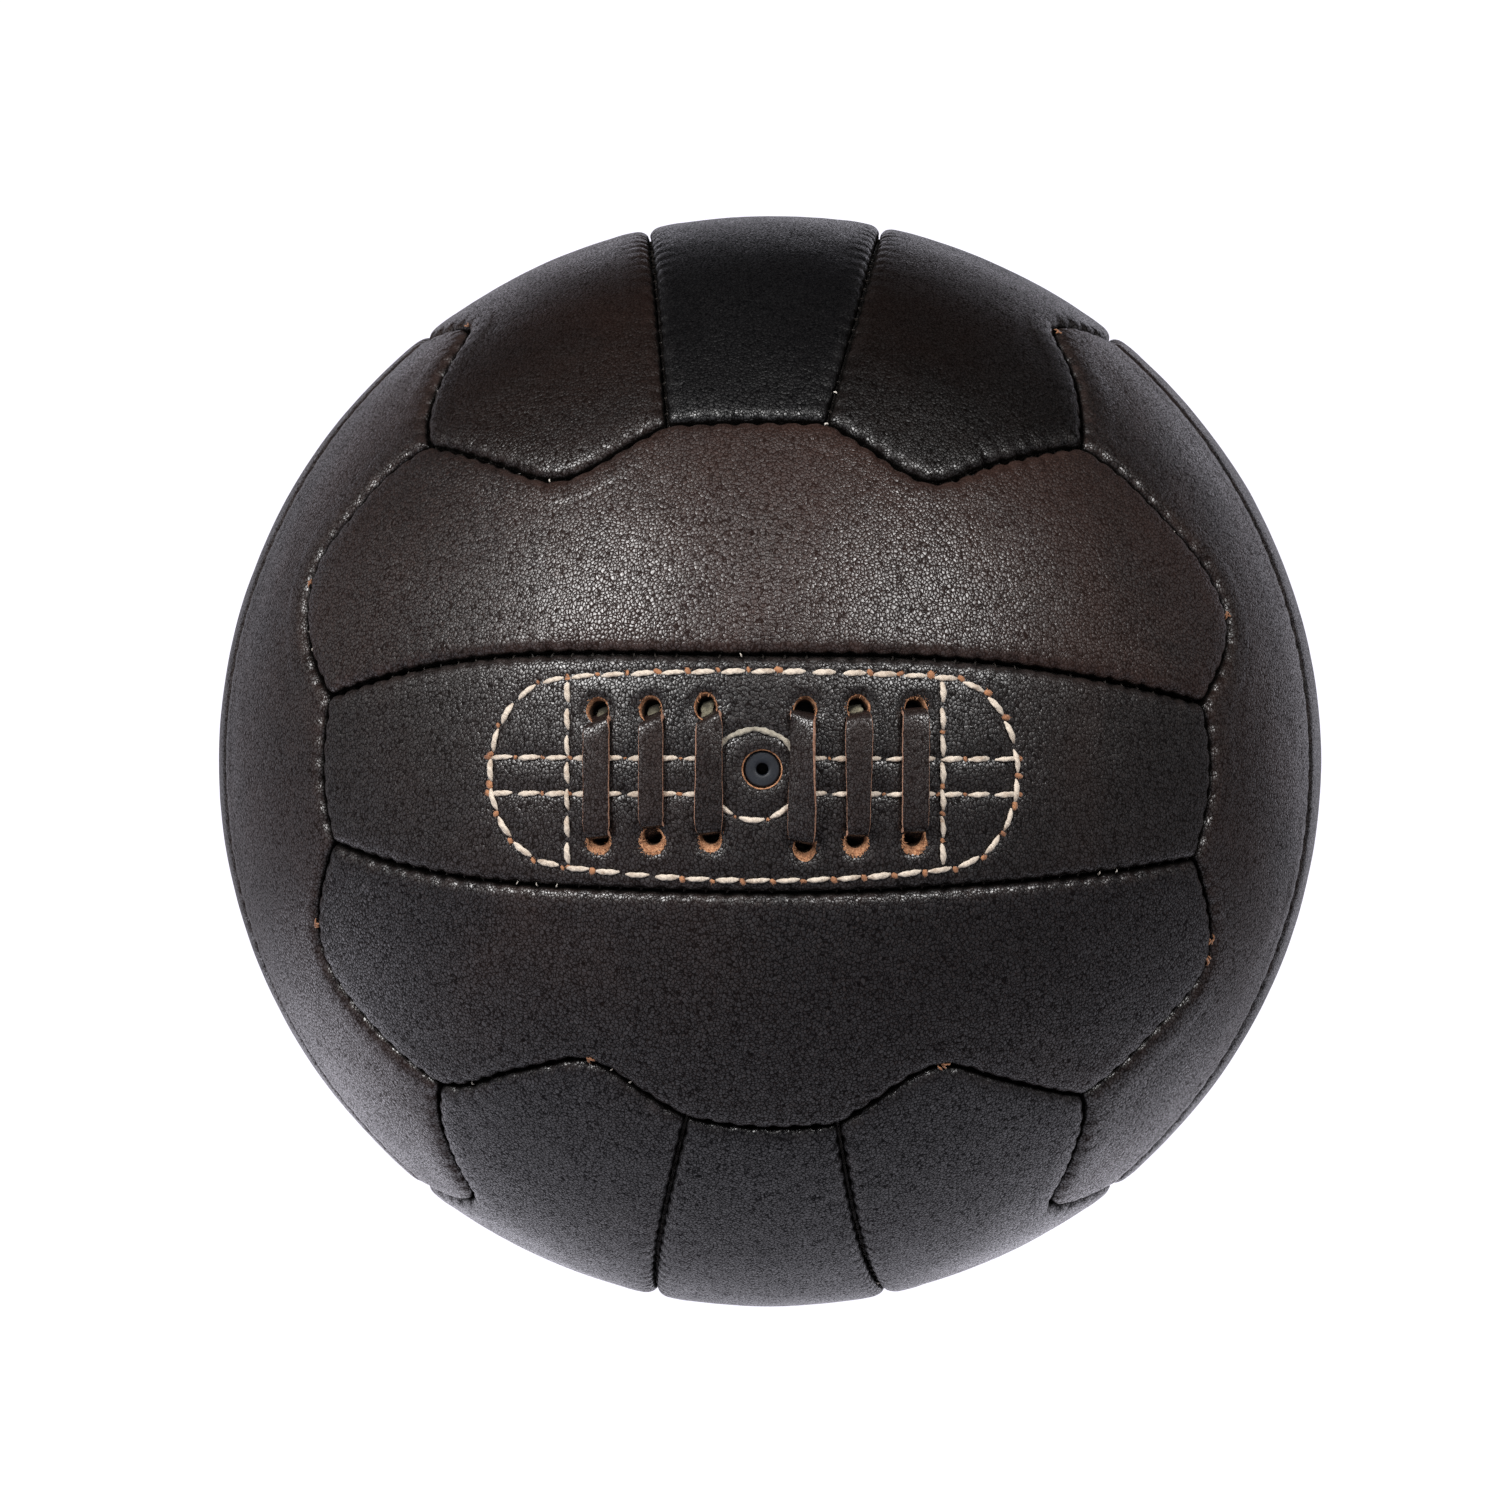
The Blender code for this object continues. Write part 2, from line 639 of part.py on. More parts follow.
def leather_lace():
    stations = lace_stations()
    sideways = lace_sideways(stations)
    count = len(stations) - 1
    bm = bmesh.new()
    bmesh.ops.create_grid(bm, x_segments=1, y_segments=count, size=0.5)
    for v in bm.verts:
        k = round((v.co.y + 0.5) * count)
        hand = 1 if v.co.x > 0 else -1
        point, _, width = stations[k]
        v.co = point + sideways[k] * (hand * width / 2)
    ob = finish("leather_lace", bm, smooth=False)
    thicken(ob, LACE_THICK, offset=0.0)
    dress(ob, "lace_leather", (0.035, 0.022, 0.018), roughness=0.5)


leather_lace()

# --------------------------------------------------------- stitching lines
STITCH_R = BALL_R + 0.00056   # decorative stitching lines lie on the leather
STITCH_HALF = 0.00025
OUTLINE_X = 0.0528        # stitched outline, half length
OUTLINE_Z = 0.0207        # and half height at the middle
OUTLINE_DROP = 0.0015     # how much lower it is at the upright lines
OUTLINE_SIDE = 0.0376     # where the upright stitching lines stand
CENTRE_LINE_Z = 0.0035    # the two long centre stitching lines
RING_STITCH_R = 0.0090    # stitched ring round the valve
UPRIGHT_GAP = 0.0012      # upright line to outline
RING_GAP = 0.0012         # centre line to ring
SIDE_GAP = 0.0009         # centre line to upright line
TIP_GAP = 0.0016          # centre line to the end of the outline


def cord(name, places, closed=False, colour=CREAM):
    """A thread on the leather through (x, z) places: a bevelled curve, meshed."""
    curve = bpy.data.curves.new(name + "_line", "CURVE")
    curve.dimensions = "3D"
    spline = curve.splines.new("POLY")
    spline.points.add(len(places) - 1)
    for spline_point, place in zip(spline.points, places):
        spline_point.co = (*at(*place, STITCH_R), 1.0)
    spline.use_cyclic_u = closed
    curve.bevel_depth = STITCH_HALF
    curve.bevel_resolution = 0
    curve.use_fill_caps = not closed
    line = bpy.data.objects.new(name + "_line", curve)
    ball_collection.objects.link(line)
    graph = bpy.context.evaluated_depsgraph_get()
    mesh = bpy.data.meshes.new_from_object(line.evaluated_get(graph))
    bpy.data.objects.remove(line, do_unlink=True)
    bm = bmesh.new()
    bm.from_mesh(mesh)
    bpy.data.meshes.remove(mesh)
    bmesh.ops.remove_doubles(bm, verts=bm.verts, dist=0.00001)
    bmesh.ops.recalc_face_normals(bm, faces=bm.faces)
    dress(finish(name, bm), name + "_waxed", colour, roughness=0.7)


def straight_cord(name, start, stop, steps):
    cord(name, [between(start, stop, k / steps) for k in range(steps + 1)])


def outline_stitching():
    """Shallow arch along the top, round end on the right, then both again
    turned half a turn."""
    half = []
    for k in range(11):
        x = -OUTLINE_SIDE + 2 * OUTLINE_SIDE * k / 10
        half.append((x, OUTLINE_Z - OUTLINE_DROP * (x / OUTLINE_SIDE) ** 2))
    for k in range(1, 8):
        a = math.pi * k / 8
        half.append((OUTLINE_SIDE + (OUTLINE_X - OUTLINE_SIDE) * math.sin(a),
                     (OUTLINE_Z - OUTLINE_DROP) * math.cos(a)))
    cord("outline_stitching", half + [(-x, -z) for x, z in half], closed=True)


def line_stitching(sign, word):
    """Upright and centre lines on one side of the valve."""
    reach = OUTLINE_Z - OUTLINE_DROP - UPRIGHT_GAP
    x = sign * OUTLINE_SIDE
    straight_cord(word + "_upright_stitching", (x, -reach), (x, reach), 4)
    ring_end = math.sqrt(RING_STITCH_R ** 2 - CENTRE_LINE_Z ** 2) + RING_GAP
    # name ending, inner end, outer end, divisions
    pieces = (
        ("", ring_end, OUTLINE_SIDE - SIDE_GAP, 5),
        ("_tip", OUTLINE_SIDE + SIDE_GAP, OUTLINE_X - TIP_GAP, 2),
    )
    for height, z in (("upper", CENTRE_LINE_Z), ("lower", -CENTRE_LINE_Z)):
        for ending, inner, outer, steps in pieces:
            straight_cord(word + "_" + height + "_centre_stitching" + ending,
                          (sign * inner, z), (sign * outer, z), steps)


def valve_ring_stitching():
    angles = [2 * math.pi * k / 16 for k in range(16)]
    ring = [(RING_STITCH_R * math.cos(a), RING_STITCH_R * math.sin(a)) for a in angles]
    cord("valve_ring_stitching", ring, closed=True, colour=(0.45, 0.44, 0.38))


outline_stitching()
line_stitching(-1, "left")
line_stitching(1, "right")
valve_ring_stitching()


# --------------------------------------------------------------- seam thread
def seam_key(point):
    """The same key for a seam point shared by neighbouring panels."""
    return tuple(round(c * 1.0e4) for c in point)


def lay(bm, corners):
    """Add a face that points away from the middle of the ball."""
    middle = sum((v.co for v in corners), Vector())
    a, b, c = (v.co for v in corners[:3])
    bm.faces.new(corners if (b - a).cross(c - b).dot(middle) > 0 else corners[::-1])


def seam_thread():
    """One waxed thread along every seam, in the hollow between the turned-in
    edges: a narrow ribbon that branches where three panels meet, thickened."""
    bm = bmesh.new()
    beside = {}           # seam segment: its two ribbon edges
    knots = {}            # seam point: the ribbon points round it
    for loop in seam_loops:
        spots = []
        for point, mitre in loop:
            direction = (point * BALL_R + mitre * THREAD_HALF).normalized()
            v = bm.verts.new(direction * (THREAD_R + THREAD_HALF))
            spots.append((seam_key(point), v))
            knots.setdefault(seam_key(point), []).append(v)
        for (key_a, vert_a), (key_b, vert_b) in zip(spots, spots[1:] + spots[:1]):
            ends = {key_a: vert_a, key_b: vert_b}
            beside.setdefault(frozenset((key_a, key_b)), []).append(ends)
    for segment, (one, other) in beside.items():
        key_a, key_b = segment
        lay(bm, [one[key_a], one[key_b], other[key_b], other[key_a]])
    for around in knots.values():
        if len(around) == 3:
            lay(bm, around)
    ob = finish("seam_thread", bm)
    thicken(ob, 2 * THREAD_HALF)
    dress(ob, "seam_thread_waxed", CREAM, roughness=0.75)


seam_thread()
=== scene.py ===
# A laced leather ball centred on the origin: eighteen panels with turned seams,
# thong lacing, decorative stitching and a pump valve. The laced side faces the
# camera along -Y, +X is to its right and +Z is up.
import math

import bmesh
import bpy
import numpy as np
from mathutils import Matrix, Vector, kdtree


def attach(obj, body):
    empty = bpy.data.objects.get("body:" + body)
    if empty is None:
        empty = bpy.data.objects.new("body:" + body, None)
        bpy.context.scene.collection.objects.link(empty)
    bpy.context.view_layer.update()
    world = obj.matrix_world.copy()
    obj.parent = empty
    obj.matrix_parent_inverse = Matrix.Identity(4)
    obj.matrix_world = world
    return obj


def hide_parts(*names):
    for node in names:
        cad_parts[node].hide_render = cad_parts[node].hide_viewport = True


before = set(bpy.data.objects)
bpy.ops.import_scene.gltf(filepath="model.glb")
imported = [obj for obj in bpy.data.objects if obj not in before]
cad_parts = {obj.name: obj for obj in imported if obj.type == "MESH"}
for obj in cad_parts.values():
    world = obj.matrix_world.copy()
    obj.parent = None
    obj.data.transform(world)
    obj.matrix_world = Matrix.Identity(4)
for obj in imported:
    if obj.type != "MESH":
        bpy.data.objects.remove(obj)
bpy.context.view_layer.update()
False                 # quick or not, the ball is built in full

MM = 0.001
RADIUS = 110.0             # of the ball; the shapes are worked out in millimetres
FLAT = 0.9895              # the pumped ball is one per cent lower than wide
rng = np.random.default_rng(18)

# ------------------------------------------------------------ seam layout
# Each side of the ball has a centre strip between two flank panels. Seam keys:
# "C" corner of the ball, "T" tee at a strip's corner, "S" scallop from a corner
# to a tee, "L" long seam of a strip, "E" end of a strip.
STRIP_END_DEG, STRIP_LON_DEG = 7.9, 51.25      # half width and half length of a strip
PITCH = 4.3                # between seam stitches
# Hand-made shift of a junction: degrees of longitude, degrees of latitude.
HAND_SHIFT = {
    ("C", -1, -1, 1): (-2.27, 0.50), ("C", 1, -1, 1): (-0.30, 0.30),
    ("C", -1, -1, -1): (0.56, 0.56), ("C", 1, -1, -1): (0.09, -0.79),
    ("T", "front", -1, 1): (0.26, -0.26), ("T", "front", -1, -1): (0.96, 0.39),
    ("T", "front", 1, 1): (1.15, -0.95), ("T", "front", 1, -1): (0.27, -1.27),
    ("T", "top", -1, -1): (-1.96, 0.17), ("T", "top", -1, 1): (-1.23, 0.49),
    ("T", "bottom", -1, -1): (0.69, 0.07), ("T", "bottom", -1, 1): (0.35, -0.94),
}
# Sideways wander of each hand-cut seam from the straight line between its
# junctions, in degrees, as waves of one, two, three ... half turns.
WANDER = {
    ("S", "front", -1, 1): (9.06, -0.98, 0.30, 0.14, 0.23),
    ("S", "front", -1, -1): (7.76, -1.01, 0.10, 0.16, 0.02),
    ("S", "front", 1, 1): (8.41, -2.29, 0.93, -0.18, 0.17),
    ("S", "front", 1, -1): (7.59, -1.49, 0.10, 0.26, 0.03),
    ("S", "top", -1, -1): (6.31, -1.36, -0.08, 0.22, -0.11),
    ("S", "top", -1, 1): (6.33, -1.78, 0.01, 0.32, -0.24),
    ("S", "bottom", -1, -1): (6.32, -1.60, -0.14, 0.11, -0.30),
    ("S", "bottom", -1, 1): (6.67, -1.66, 0.08, 0.22, -0.16),
    ("S", "left", 1, -1): (4.73, -2.32, 0.29, -0.01, -0.10),
    ("S", "right", 1, -1): (5.67, -2.05, 0.21, 0.18, -0.10),
    ("S", "left", -1, -1): (5.25, -2.15, 0.17, 0.04, -0.10),
    ("S", "right", -1, -1): (5.83, -2.17, 0.04, 0.11, -0.23),
    ("L", "front", 1): (1.23, 0.31, 0.47, 0.17, -0.05),
    ("L", "front", -1): (-0.94, 0.53, 0.18, 0.16, 0.08),
    ("E", "front", -1): (0.81, 0.06), ("E", "front", 1): (1.27, -0.05),
    ("E", "top", -1): (0.18, -0.01), ("E", "bottom", -1): (-0.52, -0.03),
    ("L", "top", -1): (-0.95, -0.53, -0.16), ("L", "top", 1): (0.09, 0.32, 0.07),
    ("L", "bottom", -1): (-0.11, 0.23, 0.21), ("L", "bottom", 1): (-0.50, -0.28, -0.32),
}
COMMON_WANDER = {"S": (6.9, -1.70, 0.05, 0.10, 0.0), "L": (-0.3, 0.1, 0.1), "E": (0.3, 0.0)}
# Per side: outward direction, direction along its strip, direction across it.
AXES = {side: tuple(np.array(axis, float) for axis in axes) for side, axes in {
    "front": ((0, -1, 0), (1, 0, 0), (0, 0, 1)),
    "back": ((0, 1, 0), (1, 0, 0), (0, 0, 1)),
    "right": ((1, 0, 0), (0, 0, 1), (0, 1, 0)),
    "left": ((-1, 0, 0), (0, 0, 1), (0, 1, 0)),
    "top": ((0, 0, 1), (0, 1, 0), (1, 0, 0)),
    "bottom": ((0, 0, -1), (0, 1, 0), (1, 0, 0)),
}.items()}
# Names of the flank panels on the minus and plus side across the strip.
FLANKS = {
    "front": ("lower", "upper"), "back": ("lower", "upper"),
    "right": ("fore", "rear"), "left": ("fore", "rear"),
    "top": ("left", "right"), "bottom": ("left", "right"),
}

# ------------------------------------------- layout of the laced side, in x and z
# Six lacing columns: hole above the middle, hole below it.
LACE_HOLES = (
    (-30.5, 12.4, -30.3, -12.5), (-20.2, 12.7, -19.9, -12.4), (-9.6, 13.3, -8.7, -12.1),
    (9.5, 12.7, 9.4, -13.8), (19.7, 13.0, 19.3, -12.9), (30.7, 12.6, 30.4, -12.6),
)
# Every hole: column, row (1 above, -1 below), x, z.
HOLES = [(column, row, x, z) for column, spots in enumerate(LACE_HOLES)
         for row, x, z in ((1, *spots[:2]), (-1, *spots[2:]))]
HOLE_RADIUS = 2.55
VALVE = (1.3, 1.3)
RING_CENTRE, RING_RADIUS = (-0.1, 0.2), 8.75   # stitched ring round the valve
OUTLINE_LEFT, OUTLINE_RIGHT = -51.5, 50.2      # ends of the stitched outline
UPRIGHT_LEFT, UPRIGHT_RIGHT = -36.3, 35.8      # the two upright rows


def unit(vectors):
    return vectors / np.linalg.norm(vectors, axis=-1, keepdims=True)


def run_along(pts):
    """Distance from the first point to each point of a polyline."""
    return np.concatenate(([0.0], np.cumsum(np.linalg.norm(np.diff(pts, axis=0), axis=1))))


def around(count):
    """Even angles round a full turn."""
    return np.arange(count) * 2 * math.pi / count


def lattice(cell, seed):
    """Hashed value between -1 and 1 for each whole-numbered cell."""
    mixed = (cell @ np.array((374761393, 668265263, 1103515245)) + seed * 1274126177) & 0xFFFFFFFF
    mixed = ((mixed ^ (mixed >> 13)) * 1274126177) & 0xFFFFFFFF
    mixed = mixed ^ (mixed >> 16)
    return (mixed & 0xFFFF) / 32767.5 - 1.0


def wave(points, size, seed):
    """Smooth seeded noise between -1 and 1 for an array of points."""
    scaled = np.asarray(points, float) / size
    cell = np.floor(scaled).astype(np.int64)
    blend = scaled - cell
    blend = blend * blend * (3 - 2 * blend)
    total = np.zeros(scaled.shape[:-1])
    for offset in np.ndindex(2, 2, 2):
        weight = np.prod(np.where(offset, blend, 1 - blend), axis=-1)
        total += weight * lattice(cell + offset, seed)
    return total


def circle_wave(angles, radius, offset, size, seed):
    """Noise read off along a circle, for ragged outlines."""
    circle = (np.cos(angles) * radius, np.sin(angles) * radius, angles * 0)
    return wave(np.stack([c + shift for c, shift in zip(circle, offset)], -1), size, seed)


def on_side(side, lon, lat):
    outward, along, across = AXES[side]
    lon, lat = math.radians(lon), math.radians(lat)
    return (outward * (math.cos(lon) * math.cos(lat)) + along * (math.sin(lon) * math.cos(lat))
            + across * math.sin(lat))


def shifted(key, direction):
    if key not in HAND_SHIFT:
        return direction
    lon = math.degrees(math.atan2(direction[0], -direction[1])) + HAND_SHIFT[key][0]
    lat = math.degrees(math.asin(max(-1.0, min(1.0, direction[2])))) + HAND_SHIFT[key][1]
    return on_side("front", lon, lat)


def corner(signs):
    signs = tuple(int(round(c)) for c in signs)
    return shifted(("C", *signs), unit(np.array(signs, float)))


def tee(side, end, flank):
    place = on_side(side, STRIP_LON_DEG * end, STRIP_END_DEG * flank)
    return shifted(("T", side, end, flank), place)


def seam(key, start, end, lean, count):
    """Unit points of one seam and the stitch count reached at each."""
    share = np.linspace(0.0, 1.0, count + 1)
    angle = math.acos(float(start @ end))
    base = (np.outer(np.sin((1 - share) * angle), start)
            + np.outer(np.sin(share * angle), end)) / math.sin(angle)
    across = unit(np.cross(start, end))
    if across @ lean < 0:
        across = -across
    waves = WANDER.get(key)
    if waves is None:
        mark = sum(ord(c) for c in key[1]) + 7 * sum(key[2:])
        waves = [size + 0.35 / (1 + j) * math.sin(mark * 1.7 + j * 2.1)
                 for j, size in enumerate(COMMON_WANDER[key[0]])]
    sway = np.radians(sum(size * np.sin((j + 1) * math.pi * share) for j, size in enumerate(waves)))
    pts = unit(base * np.cos(sway)[:, None] + across * np.sin(sway)[:, None])
    run = run_along(pts) * RADIUS
    return pts, run / run[-1] * max(1, round(run[-1] / PITCH))


def backwards(curve):
    pts, phase = curve
    return pts[::-1], phase[::-1]


def scallop(side, end, flank, count):
    outward, along, across = AXES[side]
    start = corner(outward + along * end + across * flank)
    key = ("S", side, end, flank)
    return backwards(seam(key, start, tee(side, end, flank), along * end, count))


def strip_end(side, end, count):
    lean = AXES[side][1] * end
    return seam(("E", side, end), tee(side, end, -1), tee(side, end, 1), lean, count)


def long_seam(side, flank, count):
    lean = AXES[side][2] * flank
    return seam(("L", side, flank), tee(side, -1, flank), tee(side, 1, flank), lean, count)


def far_edge(side, flank, scallop_count, end_count):
    """Edge of a flank panel that meets the neighbouring side's strip end."""
    outward, along, across = AXES[side]
    other = next(k for k in AXES if AXES[k][0] @ (across * flank) > 0.9)
    end = 1 if AXES[other][1] @ outward > 0 else -1
    turn = 1 if AXES[other][2] @ along > 0 else -1
    first = backwards(scallop(other, end, -turn, scallop_count))
    middle = strip_end(other, end, end_count)
    if turn < 0:
        middle = backwards(middle)
    last = scallop(other, end, turn, scallop_count)
    return tuple(np.concatenate((a, b[1:], c[1:])) for a, b, c in zip(first, middle, last))


def at(x, z, radius):
    """Points over (x, z) on the laced side, radius away from the centre."""
    x, z = np.asarray(x, float), np.asarray(z, float)
    direction = np.stack((x, -np.sqrt(RADIUS * RADIUS - x * x - z * z), z), -1) / RADIUS
    return direction * np.asarray(radius, float)[..., None]


# --------------------------------------------- lines of decorative stitching
def resample(pts, step, closed):
    """Even points along a polyline, with a whole number of steps."""
    pts = np.asarray(pts, float)
    if closed:
        pts = np.vstack((pts, pts[:1]))
    run = run_along(pts)
    count = max(1, round(run[-1] / step))
    want = np.linspace(0.0, run[-1], count + 1)
    return np.stack([np.interp(want, run, pts[:, k]) for k in range(2)], -1), count


def outline_path():
    """Bowed rows above and below the lacing, joined by a round end each side."""
    def bowed(start, stop, z_mid, x_mid, bend):
        return [(x, z_mid + bend * ((x - x_mid) / 36.0) ** 2) for x in np.linspace(start, stop, 41)]

    def round_end(start, stop, x_in, x_out, z_top, z_low):
        return [(x_in + (x_out - x_in) * math.sin(angle) ** 0.92,
                 math.cos(angle) * (z_top if angle < math.pi / 2 else z_low))
                for angle in np.linspace(start, stop, 31)[1:-1]]

    upper = bowed(UPRIGHT_LEFT, UPRIGHT_RIGHT, z_mid=20.2, x_mid=-0.2, bend=-1.25)
    lower = bowed(UPRIGHT_RIGHT, UPRIGHT_LEFT, z_mid=-20.3, x_mid=1.5, bend=2.2)
    right = round_end(0.0, math.pi, UPRIGHT_RIGHT, OUTLINE_RIGHT, z_top=upper[-1][1], z_low=18.3)
    left = round_end(math.pi, 0.0, UPRIGHT_LEFT, OUTLINE_LEFT, z_top=18.9, z_low=18.0)
    return upper + right + lower + left


def ring_point(angle, radius=RING_RADIUS):
    return RING_CENTRE[0] + radius * np.cos(angle), RING_CENTRE[1] + radius * np.sin(angle)


# Each line: its (x, z) points, and whether it closes on itself.
LINES = {
    "outline": (outline_path(), True),
    "left_upright": ([(UPRIGHT_LEFT, -17.9), (UPRIGHT_LEFT, 18.7)], False),
    "right_upright": ([(UPRIGHT_RIGHT, -18.0), (UPRIGHT_RIGHT, 18.9)], False),
    "left_upper_centre": ([(-51.9, 3.3), (-9.0, 3.4)], False),
    "left_lower_centre": ([(-51.9, -3.7), (-9.3, -3.5)], False),
    "right_upper_centre": ([(9.0, 3.4), (50.6, 3.0)], False),
    "right_lower_centre": ([(9.0, -3.4), (50.6, -3.9)], False),
    "valve_ring": ([ring_point(a) for a in np.linspace(0.5, 0.5 + 2 * math.pi, 65)[:-1]], True),
}


def line_tree():
    """Search tree of points along all the stitching lines."""
    points = np.vstack([resample(pts, 0.5, closed)[0] for pts, closed in LINES.values()])
    tree = kdtree.KDTree(len(points))
    for k, (x, z) in enumerate(points):
        tree.insert((x, 0.0, z), k)
    tree.balance()
    return tree


# ------------------------------------------------------------- mesh helpers
def add_piece(name, verts, faces, materials, slots=None, smooth=True, attributes=None):
    """A mesh piece from points in millimetres; slots gives each face's material."""
    mesh = bpy.data.meshes.new(name)
    pts = np.asarray(verts, float) * MM
    pts[:, 2] *= FLAT
    mesh.from_pydata(pts, [], faces)
    mesh.polygons.foreach_set("use_smooth", np.full(len(mesh.polygons), smooth))
    for material in materials:
        mesh.materials.append(material)
    if slots is not None:
        mesh.polygons.foreach_set("material_index", np.asarray(slots, np.int32))
    for key, values in (attributes or {}).items():
        layer = mesh.attributes.new(key, "FLOAT", "POINT")
        layer.data.foreach_set("value", np.asarray(values, np.float32))
    mesh.update()
    return link_object(name, mesh)


def link_object(name, data):
    ob = bpy.data.objects.new(name, data)
    bpy.context.scene.collection.objects.link(ob)
    return ob


def orient(ob, merge=0.0, dissolve=0.0):
    """Turns all faces outwards, after merging and dissolving within metres."""
    bm = bmesh.new()
    bm.from_mesh(ob.data)
    if merge:
        bmesh.ops.remove_doubles(bm, verts=bm.verts, dist=merge)
    if dissolve:
        bmesh.ops.dissolve_degenerate(bm, edges=bm.edges, dist=dissolve)
    bmesh.ops.recalc_face_normals(bm, faces=bm.faces)
    bm.to_mesh(ob.data)
    bm.free()


def cut(ob, tool):
    """Cuts the tool out of an object and keeps the result as its mesh."""
    mod = ob.modifiers.new("holes", "BOOLEAN")
    mod.operation, mod.solver, mod.object = "DIFFERENCE", "EXACT", tool
    graph = bpy.context.evaluated_depsgraph_get()
    mesh = bpy.data.meshes.new_from_object(ob.evaluated_get(graph))
    ob.modifiers.clear()
    old, ob.data = ob.data, mesh
    bpy.data.meshes.remove(old)


def ring_faces(count, sides, closed=False):
    """Quads between successive rings of vertices."""
    faces = []
    for k in range(count if closed else count - 1):
        near, far = k * sides, (k + 1) % count * sides
        for j in range(sides):
            turned = (j + 1) % sides
            faces.append((near + j, near + turned, far + turned, far + j))
    return faces


def end_caps(count, sides):
    return [tuple(range(sides)), tuple(range((count - 1) * sides, count * sides))[::-1]]


def hoop(centre, side, up, angles, radius, flatten=1.0):
    """A ring of points spanned by the directions side and up."""
    return (centre + np.outer(np.cos(angles) * radius, side)
            + np.outer(np.sin(angles) * radius * flatten, up))


class Soup:
    """Collects many small closed shapes into one piece."""

    def __init__(self):
        self.verts, self.faces, self.slots, self.count = [], [], [], 0

    def add(self, verts, faces, slot=0):
        self.verts.append(verts)
        self.faces.extend([tuple(i + self.count for i in face) for face in faces])
        self.slots.extend([slot] * len(faces))
        self.count += len(verts)

    def stack(self, rings, slot):
        """Rings closed by a flat face at each end."""
        size = len(rings), len(rings[0])
        self.add(np.vstack(rings), ring_faces(*size) + end_caps(*size), slot)

    def pointed(self, rings, first_tip, last_tip, slot):
        """Rings closed by a fan to a tip at each end."""
        sides = len(rings[0])
        tip = len(rings) * sides
        faces = ring_faces(len(rings), sides)
        for j in range(sides):
            turned = (j + 1) % sides
            faces += [(tip, turned, j), (tip + 1, tip - sides + j, tip - sides + turned)]
        self.add(np.vstack(rings + [first_tip[None], last_tip[None]]), faces, slot)

    def tube(self, path, radii, sides, slot=0, twist=0.0, ply=0.0, flatten=1.0, across=None):
        """A closed tapered tube along path; ply carves twisted strands."""
        radii = np.broadcast_to(np.asarray(radii, float), (len(path),))
        tangent = unit(np.gradient(path, axis=0))
        side = unit(np.cross(tangent, unit(path)) if across is None else across)
        up = unit(np.cross(side, tangent))
        angles = around(sides)
        rings = []
        for k, run in enumerate(run_along(path)):
            radius = radii[k] * (1 + ply * (np.abs(np.cos(angles - twist * run)) - 0.64))
            rings.append(hoop(path[k], side[k], up[k], angles, radius, flatten))
        self.pointed(rings, path[0], path[-1], slot)

    def loop(self, path, radii, jag, lobes, turn, flatten=1.0):
        """A tube round a closed path; jag, lobes and turn roughen its section."""
        tangent = unit(np.roll(path, -1, axis=0) - np.roll(path, 1, axis=0))
        up = unit(path)
        side = unit(np.cross(tangent, up))
        angles = around(8)
        rings = [hoop(path[k], side[k], up[k], angles,
                      radii[k] * (1 + jag * np.sin(angles * lobes + k * turn)), flatten)
                 for k in range(len(path))]
        self.add(np.vstack(rings), ring_faces(len(path), 8, closed=True))

    def piece(self, name, materials, smooth=True):
        ob = add_piece(name, np.vstack(self.verts), self.faces, materials, self.slots, smooth)
        orient(ob)
        return ob


